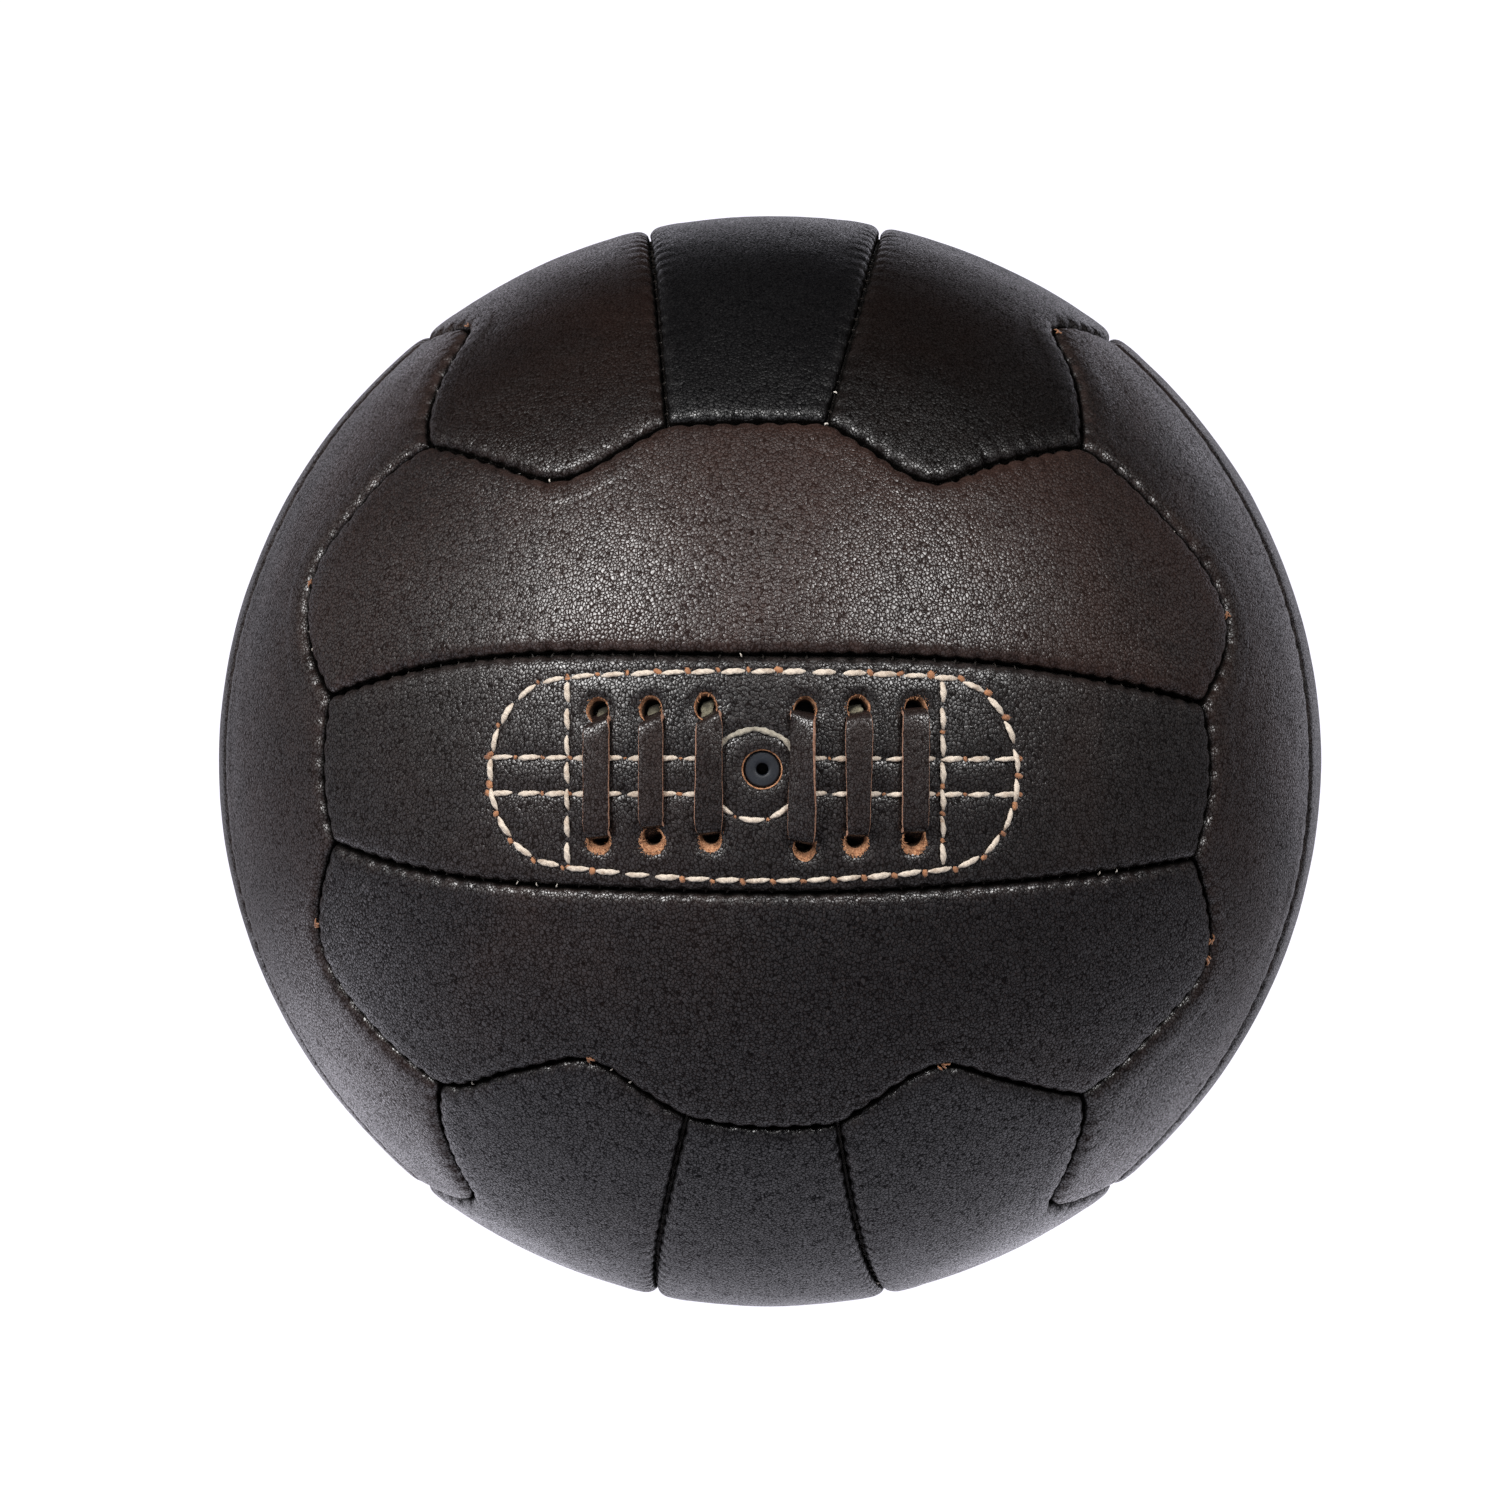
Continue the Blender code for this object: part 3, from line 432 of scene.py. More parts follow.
# ----------------------------------------------------------------- materials
class Graph:
    """Shorthand for writing a node tree line by line."""

    def __init__(self, tree):
        self.tree = tree

    def new(self, kind, **props):
        node = self.tree.nodes.new(kind)
        for key, value in props.items():
            setattr(node, key, value)
        return node

    def link(self, output, socket):
        self.tree.links.new(output, socket)

    def put(self, socket, value):
        if hasattr(value, "is_linked"):
            self.link(value, socket)
        else:
            socket.default_value = value

    def math(self, operation, *values):
        node = self.new("ShaderNodeMath", operation=operation)
        for socket, value in zip(node.inputs, values):
            self.put(socket, value)
        return node.outputs[0]

    def times(self, first, second):
        return self.math("MULTIPLY", first, second)

    def vector(self, operation, first, second=None, scale=None):
        node = self.new("ShaderNodeVectorMath", operation=operation)
        self.link(first, node.inputs[0])
        if second is not None:
            self.put(node.inputs[1], second)
        if scale is not None:
            node.inputs["Scale"].default_value = scale
        return node.outputs["Value" if operation == "LENGTH" else 0]

    def axes(self, vector):
        node = self.new("ShaderNodeSeparateXYZ")
        self.link(vector, node.inputs[0])
        return [node.outputs[k] for k in "XYZ"]

    def mapping(self, vector, scale, rotation=(0, 0, 0), location=(0, 0, 0)):
        node = self.new("ShaderNodeMapping")
        self.link(vector, node.inputs["Vector"])
        node.inputs["Scale"].default_value = scale
        node.inputs["Rotation"].default_value = rotation
        node.inputs["Location"].default_value = location
        return node.outputs[0]

    def noise(self, vector, scale, detail=4.0, rough=0.55, distortion=0.0, out="Fac"):
        node = self.new("ShaderNodeTexNoise")
        self.link(vector, node.inputs["Vector"])
        node.inputs["Scale"].default_value = scale
        node.inputs["Detail"].default_value = detail
        node.inputs["Roughness"].default_value = rough
        node.inputs["Distortion"].default_value = distortion
        return node.outputs[out]

    def voronoi(self, vector, scale, feature="F1", out="Distance"):
        node = self.new("ShaderNodeTexVoronoi", feature=feature)
        self.link(vector, node.inputs["Vector"])
        node.inputs["Scale"].default_value = scale
        return node.outputs[out]

    def bands(self, vector, direction, scale, distortion):
        node = self.new("ShaderNodeTexWave", wave_type="BANDS", bands_direction=direction)
        self.link(vector, node.inputs["Vector"])
        node.inputs["Scale"].default_value = scale
        node.inputs["Distortion"].default_value = distortion
        return node.outputs["Fac"]

    def warp(self, vector, scale, amount):
        """Pushes texture coordinates about by noise."""
        push = self.noise(vector, scale, detail=2.0, out="Color")
        push = self.vector("SUBTRACT", push, (0.5, 0.5, 0.5))
        return self.vector("ADD", vector, self.vector("SCALE", push, scale=amount))

    def span(self, value, limits, to=(0.0, 1.0), kind="LINEAR"):
        """Maps the range limits onto the range to, clamped."""
        node = self.new("ShaderNodeMapRange", interpolation_type=kind, clamp=True)
        self.put(node.inputs["Value"], value)
        for key, edge in zip(("From Min", "From Max", "To Min", "To Max"), (*limits, *to)):
            node.inputs[key].default_value = edge
        return node.outputs["Result"]

    def ease(self, value, limits, to=(0.0, 1.0)):
        """Like span, with a smooth start and stop."""
        return self.span(value, limits, to, "SMOOTHSTEP")

    def mix(self, share, first, second):
        """Blends two colours."""
        node = self.new("ShaderNodeMix", data_type="RGBA")
        self.put(node.inputs[0], share)
        for socket, value in ((node.inputs[6], first), (node.inputs[7], second)):
            self.put(socket, (*value, 1.0) if isinstance(value, tuple) else value)
        return node.outputs[2]

    def blend(self, share, first, second):
        """Blends two plain values."""
        node = self.new("ShaderNodeMix", data_type="FLOAT")
        for socket, value in zip((node.inputs[0], node.inputs[2], node.inputs[3]),
                                 (share, first, second)):
            self.put(socket, value)
        return node.outputs[0]

    def attribute(self, name):
        return self.new("ShaderNodeAttribute", attribute_name=name).outputs["Fac"]

    def bump(self, height, distance, strength=1.0):
        node = self.new("ShaderNodeBump")
        node.inputs["Distance"].default_value = distance
        self.put(node.inputs["Strength"], strength)
        self.link(height, node.inputs["Height"])
        return node.outputs["Normal"]


class Material(Graph):
    """A new material with its shader and object coordinates at hand."""

    def __init__(self, name):
        self.mat = bpy.data.materials.new(name)
        self.mat.use_nodes = True
        super().__init__(self.mat.node_tree)
        self.shader = self.tree.nodes["Principled BSDF"]
        self.coord = self.new("ShaderNodeTexCoord").outputs["Object"]

    def finish(self, colour, rough, normal=None, **inputs):
        self.put(self.shader.inputs["Base Color"], colour)
        self.put(self.shader.inputs["Roughness"], rough)
        if normal is not None:
            self.link(normal, self.shader.inputs["Normal"])
        for key, value in inputs.items():
            self.put(self.shader.inputs[key.replace("_", " ")], value)
        return self.mat


def shade(colour, factor, lift=0.0):
    return tuple(min(1.0, c * factor + lift) for c in colour)


GRAIN = 0.000050           # height of the pebbled grain, metres
DOMED = 1.9                # how strongly each pebble of the grain is domed
SHEEN_ROUGH = 0.29         # roughness on top of the pebbles
STRETCH = 1.15             # of the grain along one axis


def leather(name, deep, warm, turn, warm_at, grain=1.0, cell=1480.0, gloss=0.0, edged=True):
    """Dark waxed leather: pebbled grain, uneven dye, worn edges, with painted shade where an edge
    rolls into its seam.
    turn varies the texture from hide to hide; cell is the scale of the pebbles;
    an edged hide carries its distance from the border as the attribute inset."""
    nodes = Material(name)
    hide = nodes.mapping(nodes.coord, scale=(1.0, STRETCH, 1.0 / STRETCH),
                         rotation=(0.3 + turn, turn * 1.7, turn * 0.6),
                         location=(turn * 0.7, -turn * 0.4, turn * 0.9))
    hide = nodes.warp(hide, scale=900.0, amount=0.00055)
    bent = nodes.warp(hide, scale=150.0, amount=0.0016)

    # height: domed pebbles, a finer grain between them, creases in patches
    edge = nodes.voronoi(bent, cell, "DISTANCE_TO_EDGE")
    dome = nodes.voronoi(bent, cell)
    pebble = nodes.ease(edge, (0.0, 0.22))
    height = nodes.math("MULTIPLY_ADD", nodes.times(dome, dome), -DOMED, nodes.times(pebble, 0.30))
    fine_edge = nodes.ease(nodes.voronoi(bent, cell * 2.3, "DISTANCE_TO_EDGE"), (0.0, 0.25))
    height = nodes.math("MULTIPLY_ADD", fine_edge, 0.07, height)
    soft = nodes.noise(hide, scale=330.0, detail=3.0, rough=0.6)
    crease = nodes.noise(nodes.mapping(bent, (0.35, 1.0, 1.0)), scale=210.0, detail=4.0,
                         rough=0.62, distortion=0.6)
    crease = nodes.ease(crease, (0.44, 0.50), to=(1.0, 0.0))
    creased = nodes.span(nodes.noise(hide, scale=42.0, detail=2.0), (0.52, 0.66))
    height = nodes.math("MULTIPLY_ADD", nodes.times(crease, creased), -0.35, height)
    height = nodes.math("MULTIPLY_ADD", soft, 0.6, height)
    depth = nodes.span(nodes.noise(hide, scale=36.0, detail=3.0, rough=0.5), (0.30, 0.68),
                       to=(0.55, 1.1))
    if edged:
        inset = nodes.attribute("inset")
        near = nodes.ease(inset, (0.25, 3.4), to=(1.0, 0.0))
        depth = nodes.times(depth, nodes.span(near, (0.0, 1.0), to=(1.0, 0.8)))
    normal = nodes.bump(height, distance=GRAIN * grain, strength=depth)

    # colour: two dyes, clouds, pale specks, painted shade in the gaps between the pebbles
    dye = nodes.noise(hide, scale=15.0, detail=5.0, rough=0.58, distortion=0.5)
    cloud = nodes.noise(hide, scale=46.0, detail=4.0, rough=0.60)
    tone = nodes.mix(nodes.ease(dye, (warm_at - 0.13, warm_at + 0.15)), deep, warm)
    tone = nodes.mix(nodes.span(cloud, (0.38, 0.72), to=(0.0, 0.55)), tone, shade(deep, 0.60))
    speck = nodes.noise(bent, scale=1900.0, detail=2.0, rough=0.7)
    speck = nodes.span(speck, (0.50, 0.74), to=(0.0, 0.45))
    tone = nodes.mix(speck, tone, shade(warm, 2.1, lift=0.006))
    # painted shade: the gaps between the pebbles are darkened in the colour, standing in for the shade
    # in these hollows
    gap = nodes.times(nodes.math("SUBTRACT", 1.0, pebble), 0.60)
    tone = nodes.mix(gap, tone, shade(deep, 0.30))
    if edged:
        rubbed = nodes.noise(hide, scale=240.0, detail=4.0, rough=0.7)
        worn = nodes.times(nodes.ease(inset, (0.7, 3.6), to=(1.0, 0.0)),
                           nodes.span(rubbed, (0.44, 0.66)))
        tone = nodes.mix(nodes.times(worn, 0.32), tone, shade(warm, 1.9, lift=0.010))
        # painted shade: the hide goes near black where its edge rolls down into the seam groove
        dark = nodes.ease(inset, (0.42, 0.86), to=(1.0, 0.0))
        tone = nodes.mix(dark, tone, (0.0022, 0.0018, 0.0016))

    # roughness and shine: smoother on the pebbles, uneven from one to the next
    rough = nodes.span(pebble, (0.0, 1.0), to=(0.46, SHEEN_ROUGH - gloss))
    rough = nodes.math("ADD", rough, nodes.span(cloud, (0.3, 0.75), to=(-0.04, 0.06)))
    grit = nodes.noise(bent, scale=2600.0, detail=1.0)
    rough = nodes.math("ADD", rough, nodes.span(grit, (0.35, 0.7), to=(-0.05, 0.08)))
    lot = nodes.new("ShaderNodeSeparateColor")
    nodes.link(nodes.voronoi(bent, cell, out="Color"), lot.inputs[0])
    shine = nodes.times(nodes.span(pebble, (0.10, 0.90), to=(0.03, 0.74)),
                        nodes.span(lot.outputs[0], (0.0, 1.0), to=(0.60, 1.22)))
    return nodes.finish(tone, rough, normal, Specular_IOR_Level=shine)


def raw_leather(name, light, dark, scale=2600.0):
    """Cut edge of a hide: matted fibres from tan to rust, with painted shade lower down."""
    nodes = Material(name)
    warped = nodes.warp(nodes.coord, scale=1500.0, amount=0.0006)
    fibres = nodes.noise(nodes.mapping(warped, (1.0, 0.35, 1.0)), scale, detail=5.0, rough=0.7)
    patch = nodes.noise(warped, scale=700.0, detail=3.0, rough=0.6)
    tone = nodes.mix(nodes.span(fibres, (0.36, 0.66)), dark, light)
    tone = nodes.mix(nodes.span(patch, (0.52, 0.70), to=(0.0, 0.75)), tone, shade(dark, 0.22))
    # metres from the ball's centre: painted shade, darker below the surface
    painted_depth_shade = nodes.ease(nodes.vector("LENGTH", nodes.coord), (0.1076, 0.1093), to=(0.90, 0.0))
    tone = nodes.mix(painted_depth_shade, tone, shade(dark, 0.10))
    height = nodes.math("MULTIPLY_ADD", patch, 1.5, fibres)
    normal = nodes.bump(height, distance=0.00030, strength=0.9)
    rough = nodes.span(fibres, (0.3, 0.7), to=(0.72, 0.95))
    return nodes.finish(tone, rough, normal, Specular_IOR_Level=0.25)


def thread(name, light, dirty, soiled):
    """Waxed twisted thread, soiled in places."""
    nodes = Material(name)
    warped = nodes.warp(nodes.coord, scale=1200.0, amount=0.0004)
    strand = nodes.bands(warped, "DIAGONAL", scale=620.0, distortion=3.0)
    fuzz = nodes.noise(warped, scale=5200.0, detail=4.0, rough=0.7)
    soil = nodes.noise(warped, scale=420.0, detail=4.0, rough=0.65)
    soil = nodes.span(soil, (0.62 - soiled * 0.3, 0.78 - soiled * 0.12))
    tone = nodes.mix(soil, light, dirty)
    tone = nodes.mix(nodes.span(fuzz, (0.35, 0.65), to=(0.35, 0.0)), tone, shade(dirty, 0.45))
    height = nodes.math("MULTIPLY_ADD", strand, 0.8, fuzz)
    normal = nodes.bump(height, distance=0.00012, strength=0.8)
    rough = nodes.span(fuzz, (0.3, 0.7), to=(0.55, 0.85))
    return nodes.finish(tone, rough, normal, Specular_IOR_Level=0.3, Sheen_Weight=0.25)


def rubber(name, tone, spot, rough, scale=900.0):
    """Clouded rubber with pale grit."""
    nodes = Material(name)
    cloud = nodes.noise(nodes.coord, scale * 0.25, detail=4.0, rough=0.6)
    grit = nodes.noise(nodes.coord, scale * 4.0, detail=3.0, rough=0.7)
    tone = nodes.mix(nodes.span(cloud, (0.35, 0.68)), tone, spot)
    pale = nodes.span(grit, (0.60, 0.75), to=(0.0, 0.5))
    tone = nodes.mix(pale, tone, shade(spot, 2.6, lift=0.02))
    height = nodes.math("MULTIPLY_ADD", cloud, 1.4, grit)
    normal = nodes.bump(height, distance=0.00006, strength=0.6)
    rough = nodes.span(grit, (0.3, 0.7), to=(rough - 0.08, rough + 0.15))
    return nodes.finish(tone, rough, normal, Specular_IOR_Level=0.32)


def cotton(name, light, dark):
    """Plain woven backing cloth."""
    nodes = Material(name)
    warped = nodes.warp(nodes.coord, scale=700.0, amount=0.0003)
    weave = nodes.math("MAXIMUM", *(nodes.bands(warped, axis, scale=420.0, distortion=1.2)
                                    for axis in "XZ"))
    stain = nodes.noise(warped, scale=60.0, detail=4.0, rough=0.6)
    tone = nodes.mix(nodes.span(stain, (0.35, 0.7)), light, dark)
    tone = nodes.mix(nodes.span(weave, (0.0, 0.6), to=(0.5, 0.0)), tone, shade(dark, 0.4))
    normal = nodes.bump(weave, distance=0.00020, strength=0.8)
    return nodes.finish(tone, 0.92, normal, Sheen_Weight=0.3)


# Per panel: deep dye, warm dye, dye noise level where warm starts, texture turn.
HIDES = {
    "front_upper": ((0.014, 0.0098, 0.009), (0.03, 0.015, 0.0115), 0.48, 0.2),
    "front_lower": ((0.0085, 0.007, 0.0075), (0.02, 0.0118, 0.0098), 0.58, 1.1),
    "front_strip": ((0.01, 0.0082, 0.008), (0.0185, 0.012, 0.0105), 0.54, 2.0),
    "top_left": ((0.013, 0.0088, 0.008), (0.029, 0.0148, 0.0112), 0.46, 2.7),
    "top_right": ((0.0105, 0.0078, 0.0072), (0.023, 0.0128, 0.0102), 0.52, 3.3),
    "top_strip": ((0.006, 0.0058, 0.0066), (0.011, 0.0092, 0.0096), 0.60, 4.1),
    "left_fore": ((0.0125, 0.0098, 0.0094), (0.026, 0.015, 0.0125), 0.50, 4.8),
    "left_rear": ((0.012, 0.0095, 0.0092), (0.024, 0.0142, 0.012), 0.52, 5.5),
    "left_strip": ((0.01, 0.0082, 0.008), (0.022, 0.013, 0.011), 0.52, 0.7),
    "right_fore": ((0.0115, 0.0088, 0.0084), (0.025, 0.014, 0.0112), 0.50, 1.6),
    "right_rear": ((0.0118, 0.0092, 0.0088), (0.024, 0.0142, 0.0118), 0.50, 2.3),
    "right_strip": ((0.0095, 0.0078, 0.0076), (0.022, 0.0128, 0.0108), 0.54, 3.0),
    "bottom_left": ((0.0085, 0.0078, 0.009), (0.0195, 0.0135, 0.0125), 0.58, 3.7),
    "bottom_right": ((0.008, 0.0074, 0.0084), (0.017, 0.012, 0.0115), 0.60, 4.4),
    "bottom_strip": ((0.007, 0.0068, 0.0082), (0.014, 0.0112, 0.0115), 0.62, 5.1),
    "back_upper": ((0.0125, 0.0092, 0.0085), (0.027, 0.0145, 0.0112), 0.50, 5.8),
    "back_lower": ((0.0095, 0.0078, 0.0078), (0.021, 0.0125, 0.0102), 0.56, 0.4),
    "back_strip": ((0.009, 0.0074, 0.0074), (0.019, 0.012, 0.0102), 0.56, 1.3),
}
DYE = 0.80                 # overall strength of the dyed colours
# painted shade: the panels on top of the ball are dyed darker to stand in for the dim light over the
# top
TOP_PAINTED_SHADE = {"top_left": 0.45, "top_right": 0.28, "top_strip": 0.5}   # further factor
hides = {}
for key, (deep, warm, warm_at, turn) in HIDES.items():
    level = DYE * TOP_PAINTED_SHADE.get(key, 1.0)
    hides[key] = leather(key + "_hide", shade(deep, level), shade(warm, level), turn, warm_at)
raw = raw_leather("raw_cut_leather", light=(0.50, 0.275, 0.15), dark=(0.20, 0.072, 0.030))
raw_pale = raw_leather("raw_thong_edge", light=(0.46, 0.27, 0.19), dark=(0.22, 0.105, 0.065))
flesh = raw_leather("thong_flesh_side", light=(0.20, 0.185, 0.13), dark=(0.075, 0.066, 0.045),
                    scale=1900.0)
grain_side = leather("thong_grain_side", deep=(0.009, 0.0064, 0.006), warm=(0.018, 0.0108, 0.0092),
                     turn=0.9, warm_at=0.52, grain=0.5, cell=1750.0, gloss=0.04, edged=False)
cream = thread("waxed_cream_thread", light=(0.60, 0.52, 0.43), dirty=(0.26, 0.18, 0.12),
               soiled=0.46)
grey = thread("soiled_ring_thread", light=(0.33, 0.30, 0.24), dirty=(0.12, 0.10, 0.075),
              soiled=0.7)
rust = thread("rust_wax_knots", light=(0.36, 0.160, 0.070), dirty=(0.15, 0.058, 0.026),
              soiled=0.55)
white = thread("seam_stitch_thread", light=(0.62, 0.58, 0.52), dirty=(0.20, 0.15, 0.11),
               soiled=0.6)
# painted shade: near-black thread for the stitches sunk deep in the seams, standing in for the shade
# of the groove
groove_shade_thread = thread("thread_painted_groove_shade", light=(0.035, 0.026, 0.020),
                     dirty=(0.012, 0.009, 0.007), soiled=0.6)
split = raw_leather("patch_split_leather", light=(0.34, 0.20, 0.11), dark=(0.15, 0.075, 0.04),
                    scale=1700.0)
core_rubber = rubber("valve_core_rubber_look", tone=(0.0045, 0.0060, 0.0090),
                     spot=(0.0085, 0.011, 0.016), rough=0.46)
housing_rubber = rubber("valve_housing_rubber_look", tone=(0.010, 0.010, 0.012),
                        spot=(0.022, 0.022, 0.026), rough=0.5)
bladder_rubber = rubber("bladder_rubber_look", tone=(0.020, 0.016, 0.013),
                        spot=(0.045, 0.034, 0.026), rough=0.55, scale=300.0)
backing = cotton("backing_cotton_look", light=(0.50, 0.44, 0.34), dark=(0.34, 0.27, 0.19))

# -------------------------------------------------------------------- panels
SCALLOP_STEPS, END_STEPS = 144, 72             # grid steps along a scallop, a strip end
LONG_STEPS = 2 * SCALLOP_STEPS + END_STEPS
ROLL, DEPTH = 2.9, 1.60    # width and depth of the roll of an edge into its seam
FADE = 2.2                 # distance over which the edge's influence dies away
SEAM_INSETS = (6.2, 5.2, 4.4, 3.7, 3.1, 2.55, 2.10, 1.70, 1.36, 1.08, 0.84, 0.65, 0.52, 0.44)
# The turned-in seam allowance and the inner face: inset, depth below the surface.
ALLOWANCE = ((0.46, 2.9), (0.95, 4.6), (1.45, 6.3), (3.3, 6.3), (3.3, 4.0), (4.4, 2.5), (6.2, 2.05))
INNER_INSET, INNER_DEPTH = 7.4, 2.0


def roll_drop(inset):
    share = np.clip((ROLL - inset) / (ROLL - 0.42), 0.0, 1.0)
    return DEPTH * (1.0 - np.sqrt(np.maximum(0.0, 1.0 - share ** 2.3)))


class Edge:
    """One border curve of a panel, walked round the panel."""

    def __init__(self, pts, phase, turn):
        self.pts, self.phase = pts, phase
        tangent = unit(np.gradient(pts, axis=0))
        self.first, self.last = tangent[0], tangent[-1]
        for _ in range(170):       # evens out the turn at a junction half-way
            middle = (tangent[:-2] + tangent[1:-1] * 2 + tangent[2:]) / 4
            tangent = unit(np.vstack((tangent[:1], middle, tangent[-1:])))
        self.normal = turn * unit(np.cross(pts, tangent))
        self.run = run_along(pts) * RADIUS

    def slide(self, inset, first_cut, last_cut, count):
        """count + 1 unit directions at an inset, cut back at both corners."""
        length = self.run[-1]
        want = (np.linspace(0.0, 1.0, count + 1) * (length - inset * (first_cut + last_cut))
                + inset * first_cut)

        def pick(values):
            return unit(np.stack([np.interp(want, self.run, values[:, k]) for k in range(3)], -1))

        below, above = np.minimum(want, 0.0), np.maximum(want - length, 0.0)
        pts = (pick(self.pts) * RADIUS + pick(self.normal) * inset
               + np.outer(below, self.first) + np.outer(above, self.last))
        return unit(pts), np.interp(want, self.run, self.phase)


def untangled(grid):
    """Relaxes a grid so that it doesn't fold over a wavy border."""
    for _ in range(160):
        east, west, north, south = grid[2:, 1:-1], grid[:-2, 1:-1], grid[1:-1, 2:], grid[1:-1, :-2]
        across, along = (east - west) / 2, (north - south) / 2
        alpha = np.sum(along * along, -1, keepdims=True)
        gamma = np.sum(across * across, -1, keepdims=True)
        beta = np.sum(across * along, -1, keepdims=True)
        skew = (grid[2:, 2:] - grid[2:, :-2] - grid[:-2, 2:] + grid[:-2, :-2]) / 2
        grid[1:-1, 1:-1] = unit((alpha * (east + west) + gamma * (north + south) - beta * skew)
                                / (2 * (alpha + gamma)))
    return grid


def filled(parts):
    """A grid of unit directions spanned between four border curves."""
    low, right = parts[:2]
    high, left = parts[2][::-1], parts[3][::-1]
    u = np.linspace(0, 1, len(low))[:, None, None]
    v = np.linspace(0, 1, len(left))[None, :, None]
    grid = (low[:, None] * (1 - v) + high[:, None] * v + left[None] * (1 - u) + right[None] * u
            - low[0] * (1 - u) * (1 - v) - low[-1] * u * (1 - v)
            - high[0] * (1 - u) * v - high[-1] * u * v)
    return untangled(unit(grid))


def joined(parts):
    """One closed loop from four sides that share their corners."""
    return np.concatenate([part[:-1] for part in parts])


class Panel:
    """A leather panel: a grid framed by finer rings that roll over into the
    seam, turn inwards as a seam allowance and come back as the inner face."""

    def __init__(self, curves, outward, grid_step, dent):
        bottom, top, left, right = curves
        order = [bottom, right, backwards(top), backwards(left)]
        loop = joined([pts for pts, _ in order])
        swept = np.cross(loop, np.roll(loop, -1, axis=0)).sum(0)
        turn = 1.0 if swept @ outward > 0 else -1.0
        self.edges = [Edge(pts, phase, turn) for pts, phase in order]
        self.cuts = []
        for k in range(4):
            before, after = self.edges[k - 1].last, self.edges[k].first
            sine = float(np.cross(before, after) @ self.edges[k].pts[0]) * turn
            self.cuts.append(math.tan(math.atan2(sine, float(before @ after)) / 2))
        self.dent = dent
        self.verts, self.insets, self.faces, self.count = [], [], [], 0
        self.outer_grid(grid_step)
        self.rolled_edge()
        self.inner_face()

    def ring(self, inset, step):
        """The four sides of a ring at an inset, and its loop of stitch phases."""
        slid = [edge.slide(inset, self.cuts[k], self.cuts[(k + 1) % 4], (len(edge.pts) - 1) // step)
                for k, edge in enumerate(self.edges)]
        parts = [pts for pts, _ in slid]
        corners = [unit(parts[k - 1][-1] + parts[k][0]) for k in range(4)]
        for k, part in enumerate(parts):
            share = np.linspace(0.0, 1.0, len(part))[:, None]
            parts[k] = unit(part + (corners[k] - part[0]) * (1 - share) ** 6
                            + (corners[(k + 1) % 4] - part[-1]) * share ** 6)
        return parts, joined([phase for _, phase in slid])

    def height(self, direction, inset, stitch):
        """Surface radius over a direction at an inset."""
        point = direction * RADIUS
        far = 1.0 - np.exp(-inset / FADE)
        radius = RADIUS - roll_drop(inset)
        radius = radius + far * (0.13 * wave(point, 21.0, 3) + 0.07 * wave(point, 8.0, 5)
                                 + 0.022 * wave(point, 2.6, 9))
        radius = (radius - 0.40 * stitch * np.exp(-inset / FADE)
                  - 0.10 * (1 - far) * (1 + wave(point, 1.3, 11)) * 0.5)
        # a low swelling alongside the seam
        swelling = np.exp(-((inset - 5.0) / 2.6) ** 2) * (1.0 + wave(point, 13.0, 21))
        radius = radius + 0.10 * swelling
        if self.dent is not None:
            radius = radius - self.dent(direction)
        return radius

    def push(self, pts, inset):
        """Adds vertices and returns their numbers."""
        self.verts.append(pts)
        self.insets.append(np.broadcast_to(np.asarray(inset, float), (len(pts),)))
        self.count += len(pts)
        return np.arange(self.count - len(pts), self.count)

    def add_face(self, face, forward):
        self.faces.append(face if forward else face[::-1])

    def grid_faces(self, numbers, forward):
        """Faces of a grid of vertex numbers; its border becomes the last loop."""
        for i in range(numbers.shape[0] - 1):
            for j in range(numbers.shape[1] - 1):
                self.add_face((numbers[i, j], numbers[i + 1, j], numbers[i + 1, j + 1],
                               numbers[i, j + 1]), forward)
        return np.concatenate((numbers[:-1, 0], numbers[-1, :-1],
                               numbers[:0:-1, -1], numbers[0, :0:-1]))

    def join(self, loop):
        """Faces from the last loop of vertex numbers to this one, 1:1, 1:2 or 2:1."""
        last = self.last
        count = min(len(last), len(loop))
        last_step, step = len(last) // count, len(loop) // count
        for k in range(count):
            near = [last[j % len(last)] for j in range(k * last_step, (k + 1) * last_step + 1)]
            far = [loop[j % len(loop)] for j in range(k * step, (k + 1) * step + 1)]
            self.add_face(near[:1] + far + near[:0:-1], self.grow)
        self.last = loop

    def outer_grid(self, step):
        grid = filled(self.ring(SEAM_INSETS[0], step)[0])
        nx, ny = grid.shape[:2]
        # distance from the border grows towards the middle of the grid
        i = np.minimum(np.arange(nx), nx - 1 - np.arange(nx))[:, None]
        j = np.minimum(np.arange(ny), ny - 1 - np.arange(ny))[None, :]
        inset = (SEAM_INSETS[0] + np.minimum(i, j) * 0.55 * step).reshape(-1)
        flat = grid.reshape(-1, 3)
        numbers = self.push(flat * self.height(flat, inset, 0.0)[:, None], inset)
        # the grid's own winding against the outward direction
        start = flat[0]
        self.grow = not float(np.cross(flat[ny] - start, flat[1] - start) @ start) < 0
        self.last = self.grid_faces(numbers.reshape(nx, ny), self.grow)

    def rolled_edge(self):
        for inset in SEAM_INSETS[1:]:
            parts, phase = self.ring(inset, 1)
            loop = joined(parts)
            point = loop * RADIUS
            stitch = ((1 + np.cos(2 * math.pi * phase)) / 2) ** 2
            stitch = stitch * (0.75 + 0.45 * wave(point, 9.0, 31))
            # the thread pulls the edge in at each stitch
            pull = ((0.44 * stitch - 0.16 + 0.12 * wave(point, 0.9, 17))
                    * math.exp(-(inset - SEAM_INSETS[-1]) / 1.2))
            inward = unit(loop - joined(self.ring(max(0.02, inset - 0.5), 1)[0]))
            moved = unit(point + inward * pull[:, None])
            self.join(self.push(moved * self.height(moved, inset, stitch)[:, None], inset))

